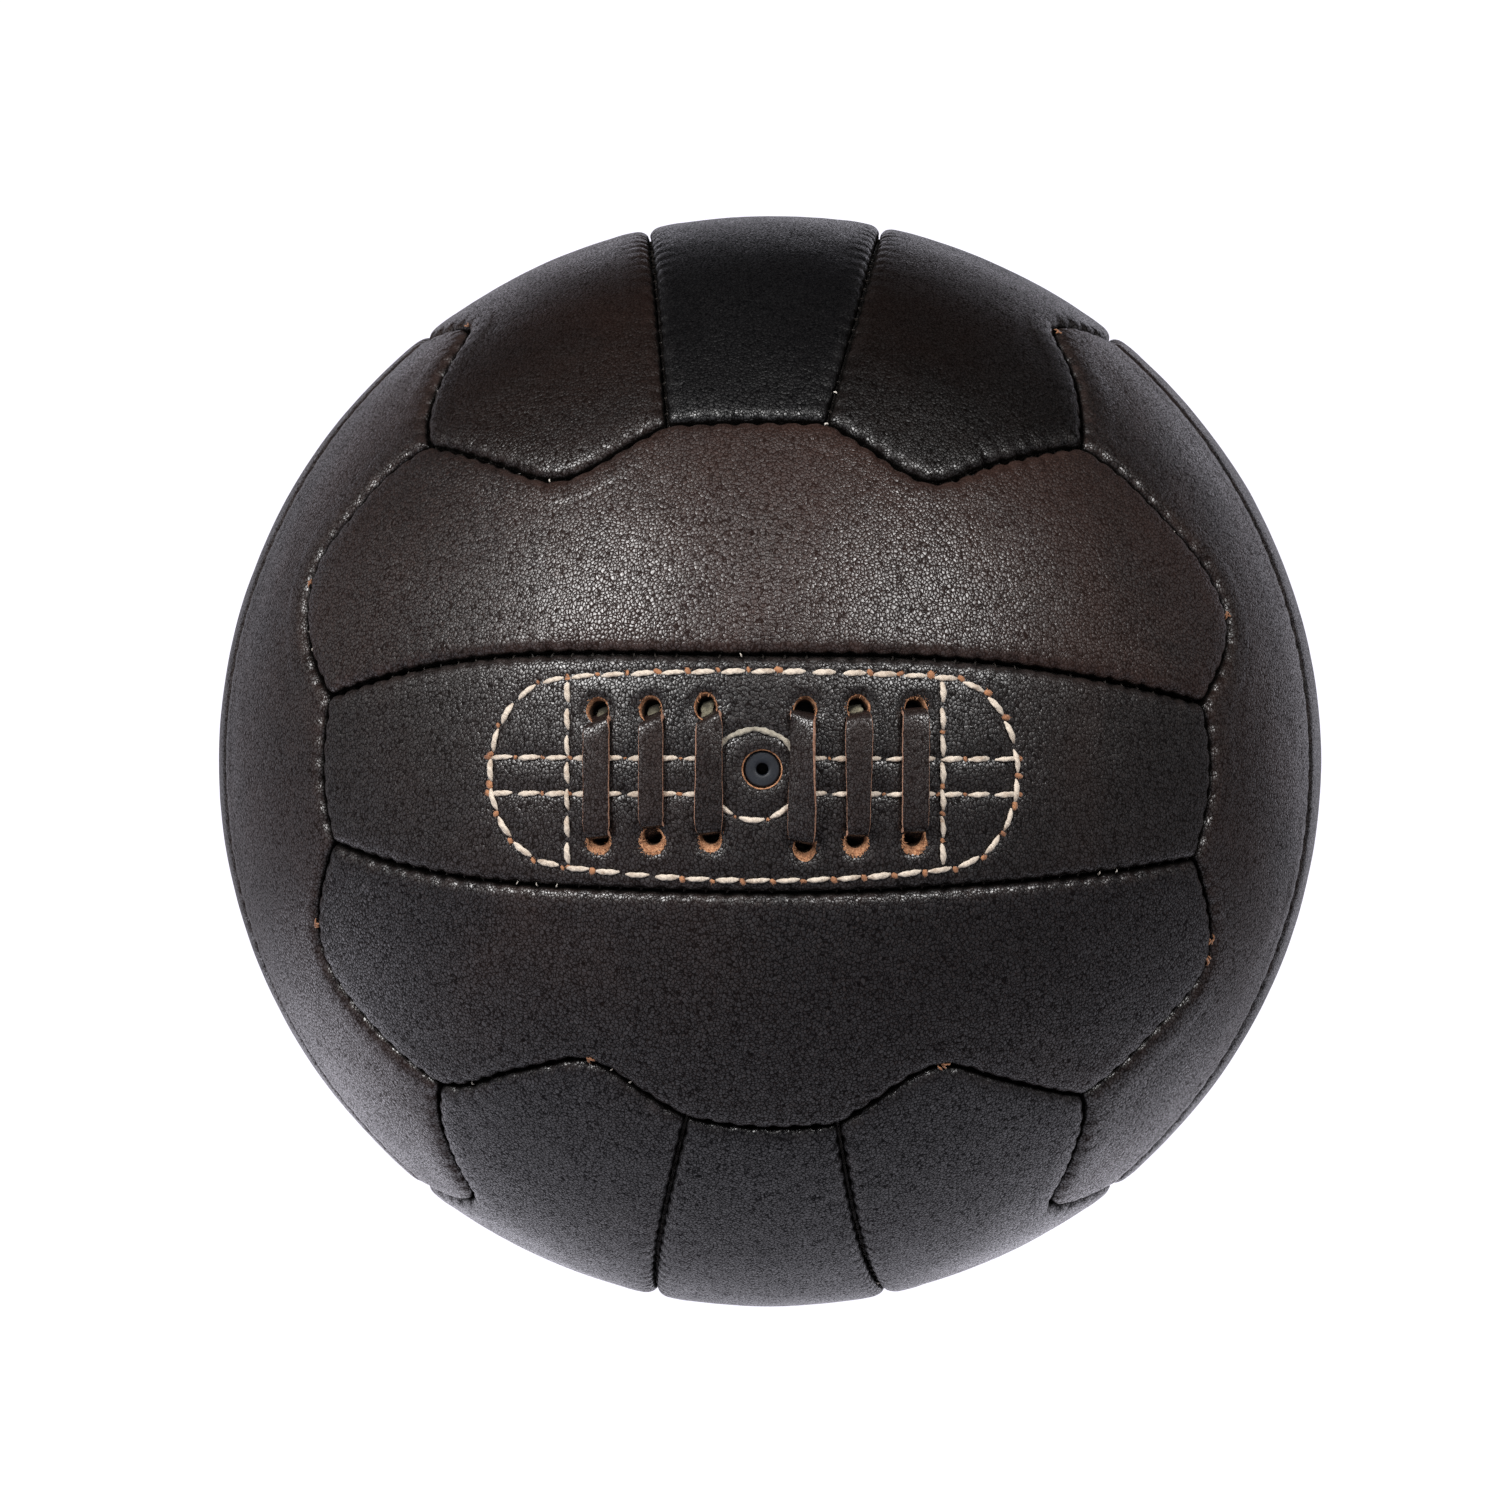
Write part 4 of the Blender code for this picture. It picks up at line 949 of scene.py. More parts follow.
    def inner_face(self):
        for inset, depth in ALLOWANCE:
            loop = joined(self.ring(inset, 2)[0])
            self.join(self.push(loop * (RADIUS - depth), 0.0 if inset < 3 else 3.0))
        grid = filled(self.ring(INNER_INSET, 4)[0])
        numbers = self.push(grid.reshape(-1, 3) * (RADIUS - INNER_DEPTH), 9.0)
        self.join(self.grid_faces(numbers.reshape(grid.shape[:2]), not self.grow))

    def piece(self, name, material):
        return add_piece(name, np.vstack(self.verts), self.faces, [material, raw],
                         attributes={"inset": np.concatenate(self.insets)})


def curves_for(side, flank):
    """Bottom, top, left and right border of a panel's grid."""
    if flank == 0:
        return (long_seam(side, -1, LONG_STEPS), long_seam(side, 1, LONG_STEPS),
                strip_end(side, -1, END_STEPS), strip_end(side, 1, END_STEPS))
    return (long_seam(side, flank, LONG_STEPS), far_edge(side, flank, SCALLOP_STEPS, END_STEPS),
            scallop(side, -1, flank, SCALLOP_STEPS), scallop(side, 1, flank, SCALLOP_STEPS))


stitch_tree = line_tree()


def laced_dent(direction):
    """How far the laced strip is drawn in by its stitching and its holes."""
    x, z = direction[:, 0] * RADIUS, direction[:, 2] * RADIUS
    dent = np.zeros(len(x))
    # a narrow groove and a wide hollow along every line of stitching
    for k in np.nonzero((np.abs(x) < 56) & (np.abs(z) < 24))[0]:
        gap = stitch_tree.find((x[k], 0.0, z[k]))[2]
        dent[k] += 0.15 * math.exp(-(gap / 0.75) ** 2) + 0.36 * math.exp(-gap / 2.3) - 0.06
    for _, row, hole_x, hole_z in HOLES:
        gap = np.hypot(x - hole_x, (z - hole_z + 0.3 * row) * 0.9)
        dent += 0.55 * np.exp(-(np.maximum(gap - HOLE_RADIUS, 0.0) / 0.95) ** 2) * (gap < 9)
    # the valve's rim sinks, with a low swelling round it
    gap = np.hypot(x - VALVE[0], z - VALVE[1])
    dent += 0.22 * np.exp(-(np.maximum(gap - 3.9, 0.0) / 0.6) ** 2) * (gap < 9)
    dent -= 0.10 * np.exp(-((gap - 6.0) / 1.6) ** 2)
    return dent


panels = {}
for side in AXES:
    for flank in (-1, 0, 1):
        word = FLANKS[side][flank > 0] if flank else "strip"
        name = side + "_" + (word + "_panel" if flank else "centre_strip")
        laced = name == "front_centre_strip"
        shell = Panel(curves_for(side, flank), AXES[side][0], grid_step=1 if laced else 2,
                      dent=laced_dent if laced else None)
        panels[name] = shell.piece(name + "_leather", hides[side + "_" + word])

# ------------------------------------------- holes, with slanting raw walls
# Each level of a hole: radius from the centre, half width, half height, slip
# away from the middle of the lacing. The lower holes are torn wider.
STEEP_LEVELS = ((RADIUS + 6.0, 3.1, 3.6, 0.30), (RADIUS + 0.2, 2.40, 2.85, 0.22),
                (RADIUS - 0.5, 2.25, 2.65, 0.16), (RADIUS - 1.4, 2.02, 2.35, -0.05),
                (RADIUS - 9.0, 1.9, 2.1, -0.4))
TORN_LEVELS = ((RADIUS + 6.0, 3.3, 4.0, 0.55), (RADIUS + 0.2, 2.45, 2.95, 0.35),
               (RADIUS - 0.5, 2.25, 2.65, 0.10), (RADIUS - 1.4, 1.75, 1.95, -0.55),
               (RADIUS - 9.0, 1.7, 1.8, -0.9))
# Levels of the valve's hole: radius from the centre, radius of the hole.
VALVE_LEVELS = ((RADIUS + 6.0, 4.05), (RADIUS - 0.1, 3.95), (RADIUS - 0.5, 3.80),
                (RADIUS - 9.0, 3.75))


def hole_cutter():
    soup = Soup()
    angles = around(44)
    for _, row, x, z in HOLES:
        wobble = 1.0 + 0.07 * circle_wave(angles, 1.5, (x, 0, z), size=1.1, seed=41)
        soup.stack([at(x + np.cos(angles) * wide * wobble,
                       z + row * slip + np.sin(angles) * tall * wobble, radius)
                    for radius, wide, tall, slip in (STEEP_LEVELS if row > 0 else TORN_LEVELS)], 1)
    wobble = 1.0 + 0.02 * circle_wave(angles, 2, (0, 0, 0), size=0.9, seed=43)
    soup.stack([at(VALVE[0] + np.cos(angles) * wide * wobble,
                   VALVE[1] + np.sin(angles) * wide * wobble, radius)
                for radius, wide in VALVE_LEVELS], 1)
    return soup.piece("hole_cutter", [raw, raw], smooth=False)


PATCH_REACH, PATCH_ROUND = 56.0, 18.8          # half length; half height and end radius
PATCH_TOP, PATCH_THICK = 107.5, 1.4            # outer radius and thickness


def reinforcement():
    """Split leather behind the lacing, with a trimmed round outline."""
    grid_x, grid_z = np.meshgrid(np.linspace(-1, 1, 97), np.linspace(-1, 1, 33), indexing="ij")
    reach = PATCH_REACH - PATCH_ROUND * (1 - np.sqrt(np.clip(1 - grid_z ** 2, 0, 1)))
    outer = at(grid_x * reach, grid_z * PATCH_ROUND, PATCH_TOP)
    outer = outer * (1 + 0.0004 * wave(outer, 5.0, 51))[..., None]
    inner = unit(outer) * (np.linalg.norm(outer, axis=-1, keepdims=True) - PATCH_THICK)
    count = grid_x.size
    nx, nz = grid_x.shape
    faces = []
    for i in range(nx - 1):
        for j in range(nz - 1):
            near, far = i * nz + j, (i + 1) * nz + j
            faces += [(near, far, far + 1, near + 1),
                      (near + count, near + 1 + count, far + 1 + count, far + count)]
    for i in range(nx - 1):
        for j in (0, nz - 1):
            near, far = i * nz + j, (i + 1) * nz + j
            faces.append((near, near + count, far + count, far))
    for j in range(nz - 1):
        for i in (0, nx - 1):
            near = i * nz + j
            faces.append((near, near + 1, near + 1 + count, near + count))
    verts = np.vstack((outer.reshape(-1, 3), inner.reshape(-1, 3)))
    ob = add_piece("lacing_patch_split_leather", verts, faces, [split, split])
    orient(ob, merge=0.00001, dissolve=0.00001)
    return ob


cutter = hole_cutter()
strip = panels["front_centre_strip"]
cut(strip, cutter)
strip.data.polygons.foreach_set("use_smooth", np.full(len(strip.data.polygons), True))
strip.data.set_sharp_from_angle(angle=math.radians(48))
patch = reinforcement()
cut(patch, cutter)
bpy.data.objects.remove(cutter, do_unlink=True)


# ------------------------------------------------------- raw rims of the holes
def torn_lip(soup, column, row, x, z):
    """Thicker on the side away from the middle of the lacing."""
    angles = around(56)
    outer_side = (np.sin(angles) * row + 1) / 2
    wobble = circle_wave(angles, 2.2, (x, z, 0), size=0.8, seed=61 + column)
    thick = (0.20 + (0.36 if row < 0 else 0.14) * outer_side ** 1.5) * (1 + 0.50 * wobble)
    path = at(x + np.cos(angles) * (2.30 + 0.15 * wobble),
              z + row * 0.22 + np.sin(angles) * (2.72 + 0.15 * wobble),
              RADIUS - 0.62 - 0.10 * wobble - 0.25 * outer_side)
    soup.loop(path, thick, jag=0.35, lobes=3, turn=2.3, flatten=0.8)


def loose_fibres(soup, row, x, z):
    """Fibres standing out of a lip, few of them towards the middle."""
    for _ in range(46 if row < 0 else 34):
        angle = rng.uniform(0, 2 * math.pi)
        if math.sin(angle) * row < -0.35 and rng.random() < 0.8:
            continue
        start = rng.uniform(2.0, 2.6)
        reach = rng.uniform(0.25, 1.0) * (1.25 if row < 0 else 0.8)
        bend = rng.uniform(-0.9, 0.9)
        lean = rng.uniform(-0.3, 0.75) if rng.random() < 0.65 else rng.uniform(-1.0, -0.2)
        pts = []
        for share in np.linspace(0, 1, 5):
            turned = angle + bend * share * 0.35
            out = start + lean * reach * share
            pts.append(at(x + math.cos(turned) * out,
                          z + row * 0.25 + math.sin(turned) * out * 1.15,
                          RADIUS - 0.75 + 0.75 * share * (0.4 + rng.random() * 0.5)))
        soup.tube(np.array(pts), np.linspace(0.085, 0.025, 5) * rng.uniform(0.8, 1.6), 5)


def hole_rims():
    soup = Soup()
    for column, row, x, z in HOLES:
        torn_lip(soup, column, row, x, z)
        loose_fibres(soup, row, x, z)
    # thin raw ring round the valve
    angles = around(72)
    wobble = circle_wave(angles, 3.4, (0, 0, 0), size=0.8, seed=77)
    path = at(VALVE[0] + np.cos(angles) * (3.86 + 0.04 * wobble),
              VALVE[1] + np.sin(angles) * (3.86 + 0.04 * wobble), RADIUS - 0.50 + 0.06 * wobble)
    soup.loop(path, 0.20 + 0.05 * wobble, jag=0.2, lobes=2, turn=1.9)
    return soup.piece("raw_hole_rims", [raw])


rims = hole_rims()

# --------------------------------------------------------------------- thong
NARROW, THICK = 3.9, 1.25  # width of the thong in the holes, thickness
BURIED = 104.4             # radius of its runs behind the leather
# Per column: x at top, x at bottom, visible top, visible bottom, roll at top,
# roll at bottom (degrees), skew at top, skew at bottom, width top, width bottom.
BARS = (
    (-30.15, -30.25, 10.2, -11.6, 9, 7, 31, 4, 5.25, 5.25),
    (-19.75, -19.80, 10.7, -9.6, 9, 8, 31, 2, 4.85, 4.90),
    (-8.70, -8.85, 11.0, -10.7, 14, 6, 45, 3, 5.30, 5.60),
    (8.95, 8.75, 11.6, -12.3, -34, -16, -42, -2, 5.30, 5.60),
    (19.60, 19.50, 11.4, -11.2, -10, -9, 8, 3, 5.40, 4.70),
    (30.30, 30.20, 12.2, -10.6, -8, -8, 0, 3, 5.35, 5.35),
)


def spline(rows, step):
    """Catmull-Rom through rows of numbers, with points about step apart."""
    rows = np.asarray(rows, float)
    padded = np.vstack((rows[:1] * 2 - rows[1:2], rows, rows[-1:] * 2 - rows[-2:-1]))
    out = []
    for k in range(1, len(padded) - 2):
        p0, p1, p2, p3 = padded[k - 1:k + 3]
        count = max(2, int(np.linalg.norm((p2 - p1)[:3]) / step))
        for u in np.arange(count) / count:
            out.append(0.5 * (2 * p1 + (p2 - p0) * u + (2 * p0 - 5 * p1 + 4 * p2 - p3) * u ** 2
                              + (3 * p1 - p0 - 3 * p2 + p3) * u ** 3))
    out.append(padded[-2])
    return np.array(out)


def buried_run(start, end, count, turning=False):
    """Stations of the thong behind the leather, from one hole to the next."""
    rows = []
    for share in np.linspace(0.12, 0.88, count):
        hand = 1 - 2 * share if turning else (1 if start[0] < 0 else -1)
        rows.append((start[0] + (end[0] - start[0]) * share,
                     start[1] + (end[1] - start[1]) * share, BURIED, NARROW, 0, 0, hand))
    return rows


def bar(column):
    """Stations of one visible bar, from its upper hole to its lower hole."""
    x1, x2, top, low, roll1, roll2, skew1, skew2, wide1, wide2 = BARS[column]
    upper_x, upper_z, lower_x, lower_z = LACE_HOLES[column]
    wide1, wide2 = wide1 * 0.93, wide2 * 0.93
    lift = 0.5 * THICK + 0.25
    raise1 = lift + abs(math.sin(math.radians(roll1))) * wide1 / 2
    raise2 = lift + abs(math.sin(math.radians(roll2))) * wide2 / 2
    rows = [
        (upper_x, upper_z - 0.9, 105.0, NARROW, 0, 0),
        (upper_x, upper_z - 0.7, 107.2, NARROW, roll1 * 0.4, skew1 * 0.5),
        (x1, top + 0.35, 109.0, NARROW + 0.5, roll1 * 0.8, skew1),
        (x1, top - 0.35, RADIUS + raise1 - 0.35, wide1 - 0.4, roll1, skew1),
        (x1, top - 1.9, RADIUS + raise1 + 0.15, wide1, roll1, skew1 * 0.5),
        (x1 + (x2 - x1) * 0.3, top - 6.0, RADIUS + raise1 + 0.22, wide1 + 0.05,
         roll1 * 0.9 + roll2 * 0.1, skew1 * 0.1),
        ((x1 + x2) / 2, (top + low) / 2, RADIUS + (raise1 + raise2) / 2 + 0.20,
         (wide1 + wide2) / 2, (roll1 + roll2) / 2, 0),
        (x1 + (x2 - x1) * 0.7, low + 6.0, RADIUS + raise2 + 0.20, wide2 + 0.05, roll2, skew2 * 0.1),
        (x2, low + 2.0, RADIUS + raise2 + 0.10, wide2, roll2, skew2 * 0.5),
        (x2, low + 0.4, RADIUS + raise2 - 0.45, wide2 - 0.5, roll2 * 0.8, skew2),
        (x2, low - 0.25, 109.0, NARROW + 0.4, roll2 * 0.4, skew2),
        (lower_x, lower_z + 0.9, 107.2, NARROW, 0, 0),
        (lower_x, lower_z + 1.0, 105.0, NARROW, 0, 0),
    ]
    return [row + (1 if column < 3 else -1,) for row in rows]


def thong_stations():
    """The whole thong: x, z, radius, width, roll, skew, hand. It comes down
    the left columns (hand 1) and climbs the right ones (hand -1)."""
    rows = buried_run((-37.5, 0.5), (-30.5, 12.4), 3)
    for column in range(len(BARS)):
        down = column < 3
        rows += bar(column) if down else bar(column)[::-1]
        if column + 1 < len(BARS):
            here, beyond = LACE_HOLES[column], LACE_HOLES[column + 1]
            rows += buried_run(here[2:] if down else here[:2],
                               beyond[:2] if column < 2 else beyond[2:], 4, turning=column == 2)
    return rows + buried_run((30.7, 12.6), (37.7, 0.5), 3)


def thong_frames(line, centre, tangent):
    """Direction across the thong at each point of its line."""
    frames = []
    deepness = np.clip((line[:, 2] - 105.2) / 3.0, 0, 1)
    for k in range(len(line)):
        up = unit(centre[k])
        level = unit(np.array((1.0, 0.0, 0.0)) - up * up[0])
        skew = math.radians(line[k, 5])
        wide = (level * math.cos(skew) - np.cross(level, up) * math.sin(skew)) * line[k, 6]
        across = unit(np.cross(tangent[k], up)) if deepness[k] < 1 else wide
        frames.append(unit(wide * deepness[k] + across * (1 - deepness[k])))
    frames = np.array(frames)
    for _ in range(4):
        middle = frames[1:-1] * 2 + frames[:-2] + frames[2:]
        frames = unit(np.vstack((frames[:1], middle, frames[-1:])))
    return unit(frames - tangent * np.sum(frames * tangent, axis=1, keepdims=True) * 0.8)


def thong_profile():
    """Cross-section as across, out, zone: domed grain side (zone 0), cut
    edges (1), flesh side (2)."""
    rows = [(u, 0.5 - 0.13 * abs(u) ** 3.0, 0) for u in np.linspace(-1, 1, 11)]
    rows += [(1.04, 0.18, 1), (1.04, -0.20, 1)]
    rows += [(u, -0.5, 2) for u in np.linspace(0.98, -0.98, 7)]
    rows += [(-1.04, -0.20, 1), (-1.04, 0.18, 1)]
    return np.array(rows)


def lace_thong():
    line = spline(thong_stations(), 0.45)
    centre = at(line[:, 0], line[:, 1], line[:, 2])
    tangent = unit(np.gradient(centre, axis=0))
    frames = thong_frames(line, centre, tangent)
    profile = thong_profile()
    verts = []
    for k, (x, z, _, width, roll, _, hand) in enumerate(line):
        across = frames[k]
        normal = -unit(np.cross(across, tangent[k]))
        # a positive roll lowers the +x edge of the thong
        roll = math.radians(roll) * (1 if hand > 0 else -1)
        side = across * math.cos(roll) - normal * math.sin(roll)
        out = normal * math.cos(roll) + across * math.sin(roll)
        spot = [[x, k * 0.45, z]]
        half = width / 2 + 0.07 * wave(spot, 1.6, 91)[0]
        puff = 0.05 * wave(spot, 3.5, 93)[0]
        verts.append(centre[k] + np.outer(profile[:, 0] * half, side)
                     + np.outer(profile[:, 1] * THICK + puff, out))
    size = len(line), len(profile)
    zone = profile[:, 2].astype(int)
    slots = [int(a) if a == b else 1 for a, b in zip(zone, np.roll(zone, -1))]
    ob = add_piece("lace_thong", np.vstack(verts), ring_faces(*size) + end_caps(*size),
                   [grain_side, raw_pale, flesh], slots * (len(line) - 1) + [1, 1])
    orient(ob)
    ob.data.set_sharp_from_angle(angle=math.radians(50))
    return ob


# Turned-over flesh side of the thong seen inside some upper holes: column,
# x and z from the hole, half width, depth, slant of the width.
FLAPS = ((0, 0.55, -0.35, 1.15, 0.5, 0.35), (1, 0.35, -0.15, 1.25, 0.5, 0.35),
         (2, 0.25, 0.10, 1.30, 0.2, 0.35), (4, -0.35, -0.45, 1.45, 0.1, 0.25))


def turned_ends():
    soup = Soup()
    for column, dx, dz, wide, drop, slant in FLAPS:
        x, z = LACE_HOLES[column][0] + dx, LACE_HOLES[column][1] + dz
        path = [(x - 0.1, z - 2.3, 108.8 - drop), (x, z - 1.2, 108.9 - drop),
                (x, z + 0.1, 108.5 - drop), (x - 0.1, z + 1.0, 107.3), (x - 0.2, z + 1.2, 105.9)]
        sweep = spline(path, 0.35)
        pts = at(sweep[:, 0], sweep[:, 1], sweep[:, 2])
        soup.tube(pts, wide * (1 + 0.10 * np.sin(np.arange(len(pts)) * 1.3)), 16, flatten=0.26,
                  across=np.tile((1.0, 0.0, slant), (len(pts), 1)))
    return soup.piece("lace_turned_ends", [flesh])


lace = lace_thong()
flaps = turned_ends()

# ------------------------------------------------------ decorative stitching
STITCH_TALL = 0.80         # thickness of a stitch at its middle
RING_CORD, RING_KNOT = 1, 2                    # material slots of the ring
KNOT = 1                   # material slot of the knots on the other rows


def seed_stitch(soup, start, end, width, tilt):
    """One stitch: two twisted plies pulled down into a needle hole at each
    end, so that it swells in the middle like a seed."""
    along = end - start
    length = np.linalg.norm(along)
    along /= length
    across = np.array((-along[1], along[0]))
    share = np.linspace(0, 1, 15)
    bow = np.sin(math.pi * share)
    x, z = (start[k] + along[k] * length * share + across[k] * tilt * (share - 0.5)
            for k in range(2))
    path = at(x, z, RADIUS - 0.90 + (0.72 + STITCH_TALL * 0.42) * bow ** 0.55)
    soup.tube(path, width / 2 * (0.22 + 0.78 * bow ** 0.75), 14, twist=1.55, ply=0.30,
              flatten=STITCH_TALL / width)


def knot(soup, x, z, size, slot, radius):
    """A rust-coloured lump of wax and fibre at a needle hole."""
    levels = 7
    centre = at(x, z, radius)
    up = unit(centre)
    east = unit(np.cross(up, (0.0, 0.0, 1.0)))
    north = np.cross(up, east)
    lump = rng.uniform(0.75, 1.25, 3)
    angles = around(12)
    rings = []
    for j in range(1, levels):
        polar = math.pi * j / levels
        ragged = size * math.sin(polar) * (1 + 0.22 * np.sin(angles * 2 + lump[0] * 9)
                                           + 0.14 * np.sin(angles * 5 + j * 2.1 + lump[1] * 7))
        rings.append(hoop(centre + up * (size * 0.62 * math.cos(polar)), east * lump[2], north,
                          angles, ragged))
    soup.pointed(rings, centre + up * size * 0.66, centre - up * size * 0.66, slot)
    for _ in range(rng.integers(2, 6)):
        angle = rng.uniform(0, 2 * math.pi)
        reach = rng.uniform(0.4, 1.0) * size * 1.6
        share = np.linspace(0, 1, 5)
        pts = at(x + np.cos(angle + 0.5 * share) * reach * share,
                 z + np.sin(angle + 0.5 * share) * reach * share,
                 radius + 0.35 * np.sin(math.pi * share * 0.8))
        soup.tube(pts, np.linspace(0.075, 0.02, 5), 5, slot)


def in_ring(point):
    return math.hypot(point[0] - RING_CENTRE[0], point[1] - RING_CENTRE[1]) < RING_RADIUS - 0.8


def sewn(line, step, width, knots, knot_size, knot_side=0.0):
    """Stitches along one line outside the valve ring. knots is the share of
    needle holes with a knot, knot_side its distance off the line."""
    pts, closed = LINES[line]
    fine, count = resample(pts, step, closed)
    soup = Soup()
    for start, end in zip(fine[:-1], fine[1:]):
        if in_ring((start + end) / 2):
            continue
        gap = (end - start) * 0.07
        tilt = 0.34 + rng.uniform(-0.06, 0.06)
        seed_stitch(soup, start + gap, end - gap, width * rng.uniform(0.86, 1.12), tilt)
    for k in range(count if closed else count + 1):
        if rng.random() > knots:
            continue
        run = fine[min(k + 1, count)] - fine[max(k - 1, 0)]
        normal = np.array((-run[1], run[0])) / (np.linalg.norm(run) + 1e-9)
        spot = fine[k] + normal * knot_side * rng.uniform(0.6, 1.2)
        if not in_ring(spot):
            knot(soup, *spot, knot_size * rng.uniform(0.7, 1.2), KNOT, RADIUS - 0.40)
    return soup


# Stitches of the ring's lower half: start and end in degrees, width.
RING_STITCHES = ((-158, -146, 0.8), (-142, -118, 0.95), (-112, -76, 1.15), (-72, -38, 1.15),
                 (-33, -12, 1.0))
RING_KNOTS_DEG = (-144, -115, -74, -36)


def ring_stitches():
    """A continuous soiled cord above, separate pale stitches below."""
    soup = Soup()
    steps = 88
    angles = np.linspace(math.radians(3), math.radians(177), steps)
    path = at(*ring_point(angles, RING_RADIUS + 0.10 * np.sin(angles * 9)),
              RADIUS + 0.05 + 0.14 * np.sin(angles * 11.0))
    taper = np.clip(np.minimum(np.arange(steps), steps - 1 - np.arange(steps)) / 5.0, 0.25, 1)
    soup.tube(path, 0.52 * taper * (1 + 0.16 * np.sin(angles * 11.0)), 12, RING_CORD,
              twist=1.9, ply=0.30, flatten=0.8)
    for start, end, width in RING_STITCHES:
        share = np.linspace(0, 1, 15)
        bow = np.sin(math.pi * share)
        angles = math.radians(start) + (math.radians(end) - math.radians(start)) * share
        path = at(*ring_point(angles), RADIUS - 0.85 + 1.0 * bow ** 0.55)
        soup.tube(path, width / 2 * (0.25 + 0.75 * bow ** 0.7), 12, twist=1.6, ply=0.2,
                  flatten=0.75)
    for degrees in RING_KNOTS_DEG:
        x, z = ring_point(math.radians(degrees), RING_RADIUS + 0.25)
        knot(soup, x, z, 0.34, RING_KNOT, RADIUS - 0.35)
    return soup.piece("valve_ring_stitches", [cream, grey, rust])


def decorative_stitching():
    """All the rows, each with the names of the CAD nodes it replaces."""
    soup = sewn("outline", step=5.8, width=1.14, knots=0.94, knot_size=0.68, knot_side=0.36)
    made = [(soup.piece("outline_stitches", [cream, rust]), ["outline_stitching"])]
    for line in ("left_upright", "right_upright"):
        soup = sewn(line, step=5.6, width=1.10, knots=0.45, knot_size=0.48)
        made.append((soup.piece(line + "_stitches", [cream, rust]), [line + "_stitching"]))
    for word, outer_end in (("left", 0), ("right", 1)):
        for high in ("upper", "lower"):
            line = word + "_" + high + "_centre"
            soup = sewn(line, step=5.3, width=1.08, knots=0.50, knot_size=0.42)
            knot(soup, *LINES[line][0][outer_end], 0.62, KNOT, RADIUS - 0.25)
            made.append((soup.piece(line + "_stitches", [cream, rust]),
                         [line + "_stitching", line + "_stitching_tip"]))
    return made + [(ring_stitches(), ["valve_ring_stitching"])]


stitching = decorative_stitching()

# ------------------------------------------------------------- seam stitches
BARE, FLECK, SUNK = 0, 1, 2                    # material slots
# Directions of flecks of rust-coloured wax on the ball.
FLECKS = (
    (-0.811, -0.4796, 0.3352), (-0.796, -0.5346, -0.2839), (0.8287, -0.4867, 0.2764),
    (0.8004, -0.5119, -0.3119), (0.7934, -0.5006, -0.3465), (-0.5352, -0.2545, 0.8055),
    (0.5279, -0.3202, 0.7867), (0.3255, -0.7876, -0.5233), (-0.3007, -0.8045, -0.5123),
    (0.30, 0.79, 0.52), (-0.81, 0.50, 0.30), (0.80, 0.52, -0.30), (-0.52, 0.30, -0.80),
)


def all_seams():
    for side in AXES:
        for flank in (-1, 1):
            yield long_seam(side, flank, 360)
            for end in (-1, 1):
                yield scallop(side, end, flank, 200)
        for end in (-1, 1):
            yield strip_end(side, end, 120)


def sew_seam(soup, pts, phase):
    tangent = unit(np.gradient(pts, axis=0))
    side = unit(np.cross(pts, tangent))
    # the thread itself, low in the groove, in the near-black thread as painted shade
    length = (run_along(pts) * RADIUS)[-1]
    pick = np.arange(0, len(pts), max(1, len(pts) // int(length / 1.3)))
    low = pts[pick] * (RADIUS - 3.7 + 0.12 * np.sin(phase[pick] * 2 * math.pi))[:, None]
    soup.tube(low, 0.26, 6, SUNK)
    # stitches across it, some missing, some shallow and bare, the deep ones in the near-black thread
    # as painted shade
    forward = pts if phase[-1] > phase[0] else pts[::-1]
    rising = np.sort(phase)
    for count in range(int(round(phase.max())) + 1):
        spot = np.array([np.interp(count, rising, forward[:, c]) for c in range(3)])
        k = int(np.argmin(np.linalg.norm(pts - spot, axis=1)))
        shown = wave(spot[None] * RADIUS, 14.0, 101)[0] + 0.35 * rng.uniform(-1, 1)
        if shown < -0.35:
            continue
        half, depth, thick, slot = (0.42, 1.35, 0.15, BARE) if shown > 0.62 else (0.55, 2.7, 0.2, SUNK)
        slant = side[k] * 0.85 + tangent[k] * rng.uniform(-0.55, 0.55)
        share = np.linspace(-1, 1, 7)
        path = (spot * RADIUS)[None] + np.outer(share * half, slant)
        path = unit(path) * (RADIUS - depth - 0.25 * share ** 2)[:, None]
        soup.tube(path, thick * (1 - 0.35 * share ** 2), 8, slot, twist=2.0, ply=0.2)


def seam_stitches():
    soup = Soup()
    for pts, phase in all_seams():
        sew_seam(soup, pts, phase)
    for fleck in FLECKS:
        centre = unit(np.array(fleck))
        for _ in range(5):
            along = unit(np.cross(centre, rng.normal(size=3)))
            share = np.linspace(-1, 1, 6)
            spot = centre * RADIUS + rng.normal(size=3) * 0.45
            path = unit(spot[None] + np.outer(share * rng.uniform(0.4, 0.9), along))
            path = path * (RADIUS - 0.75 + 0.3 * (1 - share ** 2))[:, None]
            soup.tube(path, 0.17 * (1 - 0.6 * share ** 2) * rng.uniform(0.8, 1.4), 6, FLECK)
    return soup.piece("seam_stitches", [white, rust, groove_shade_thread])


seams = seam_stitches()

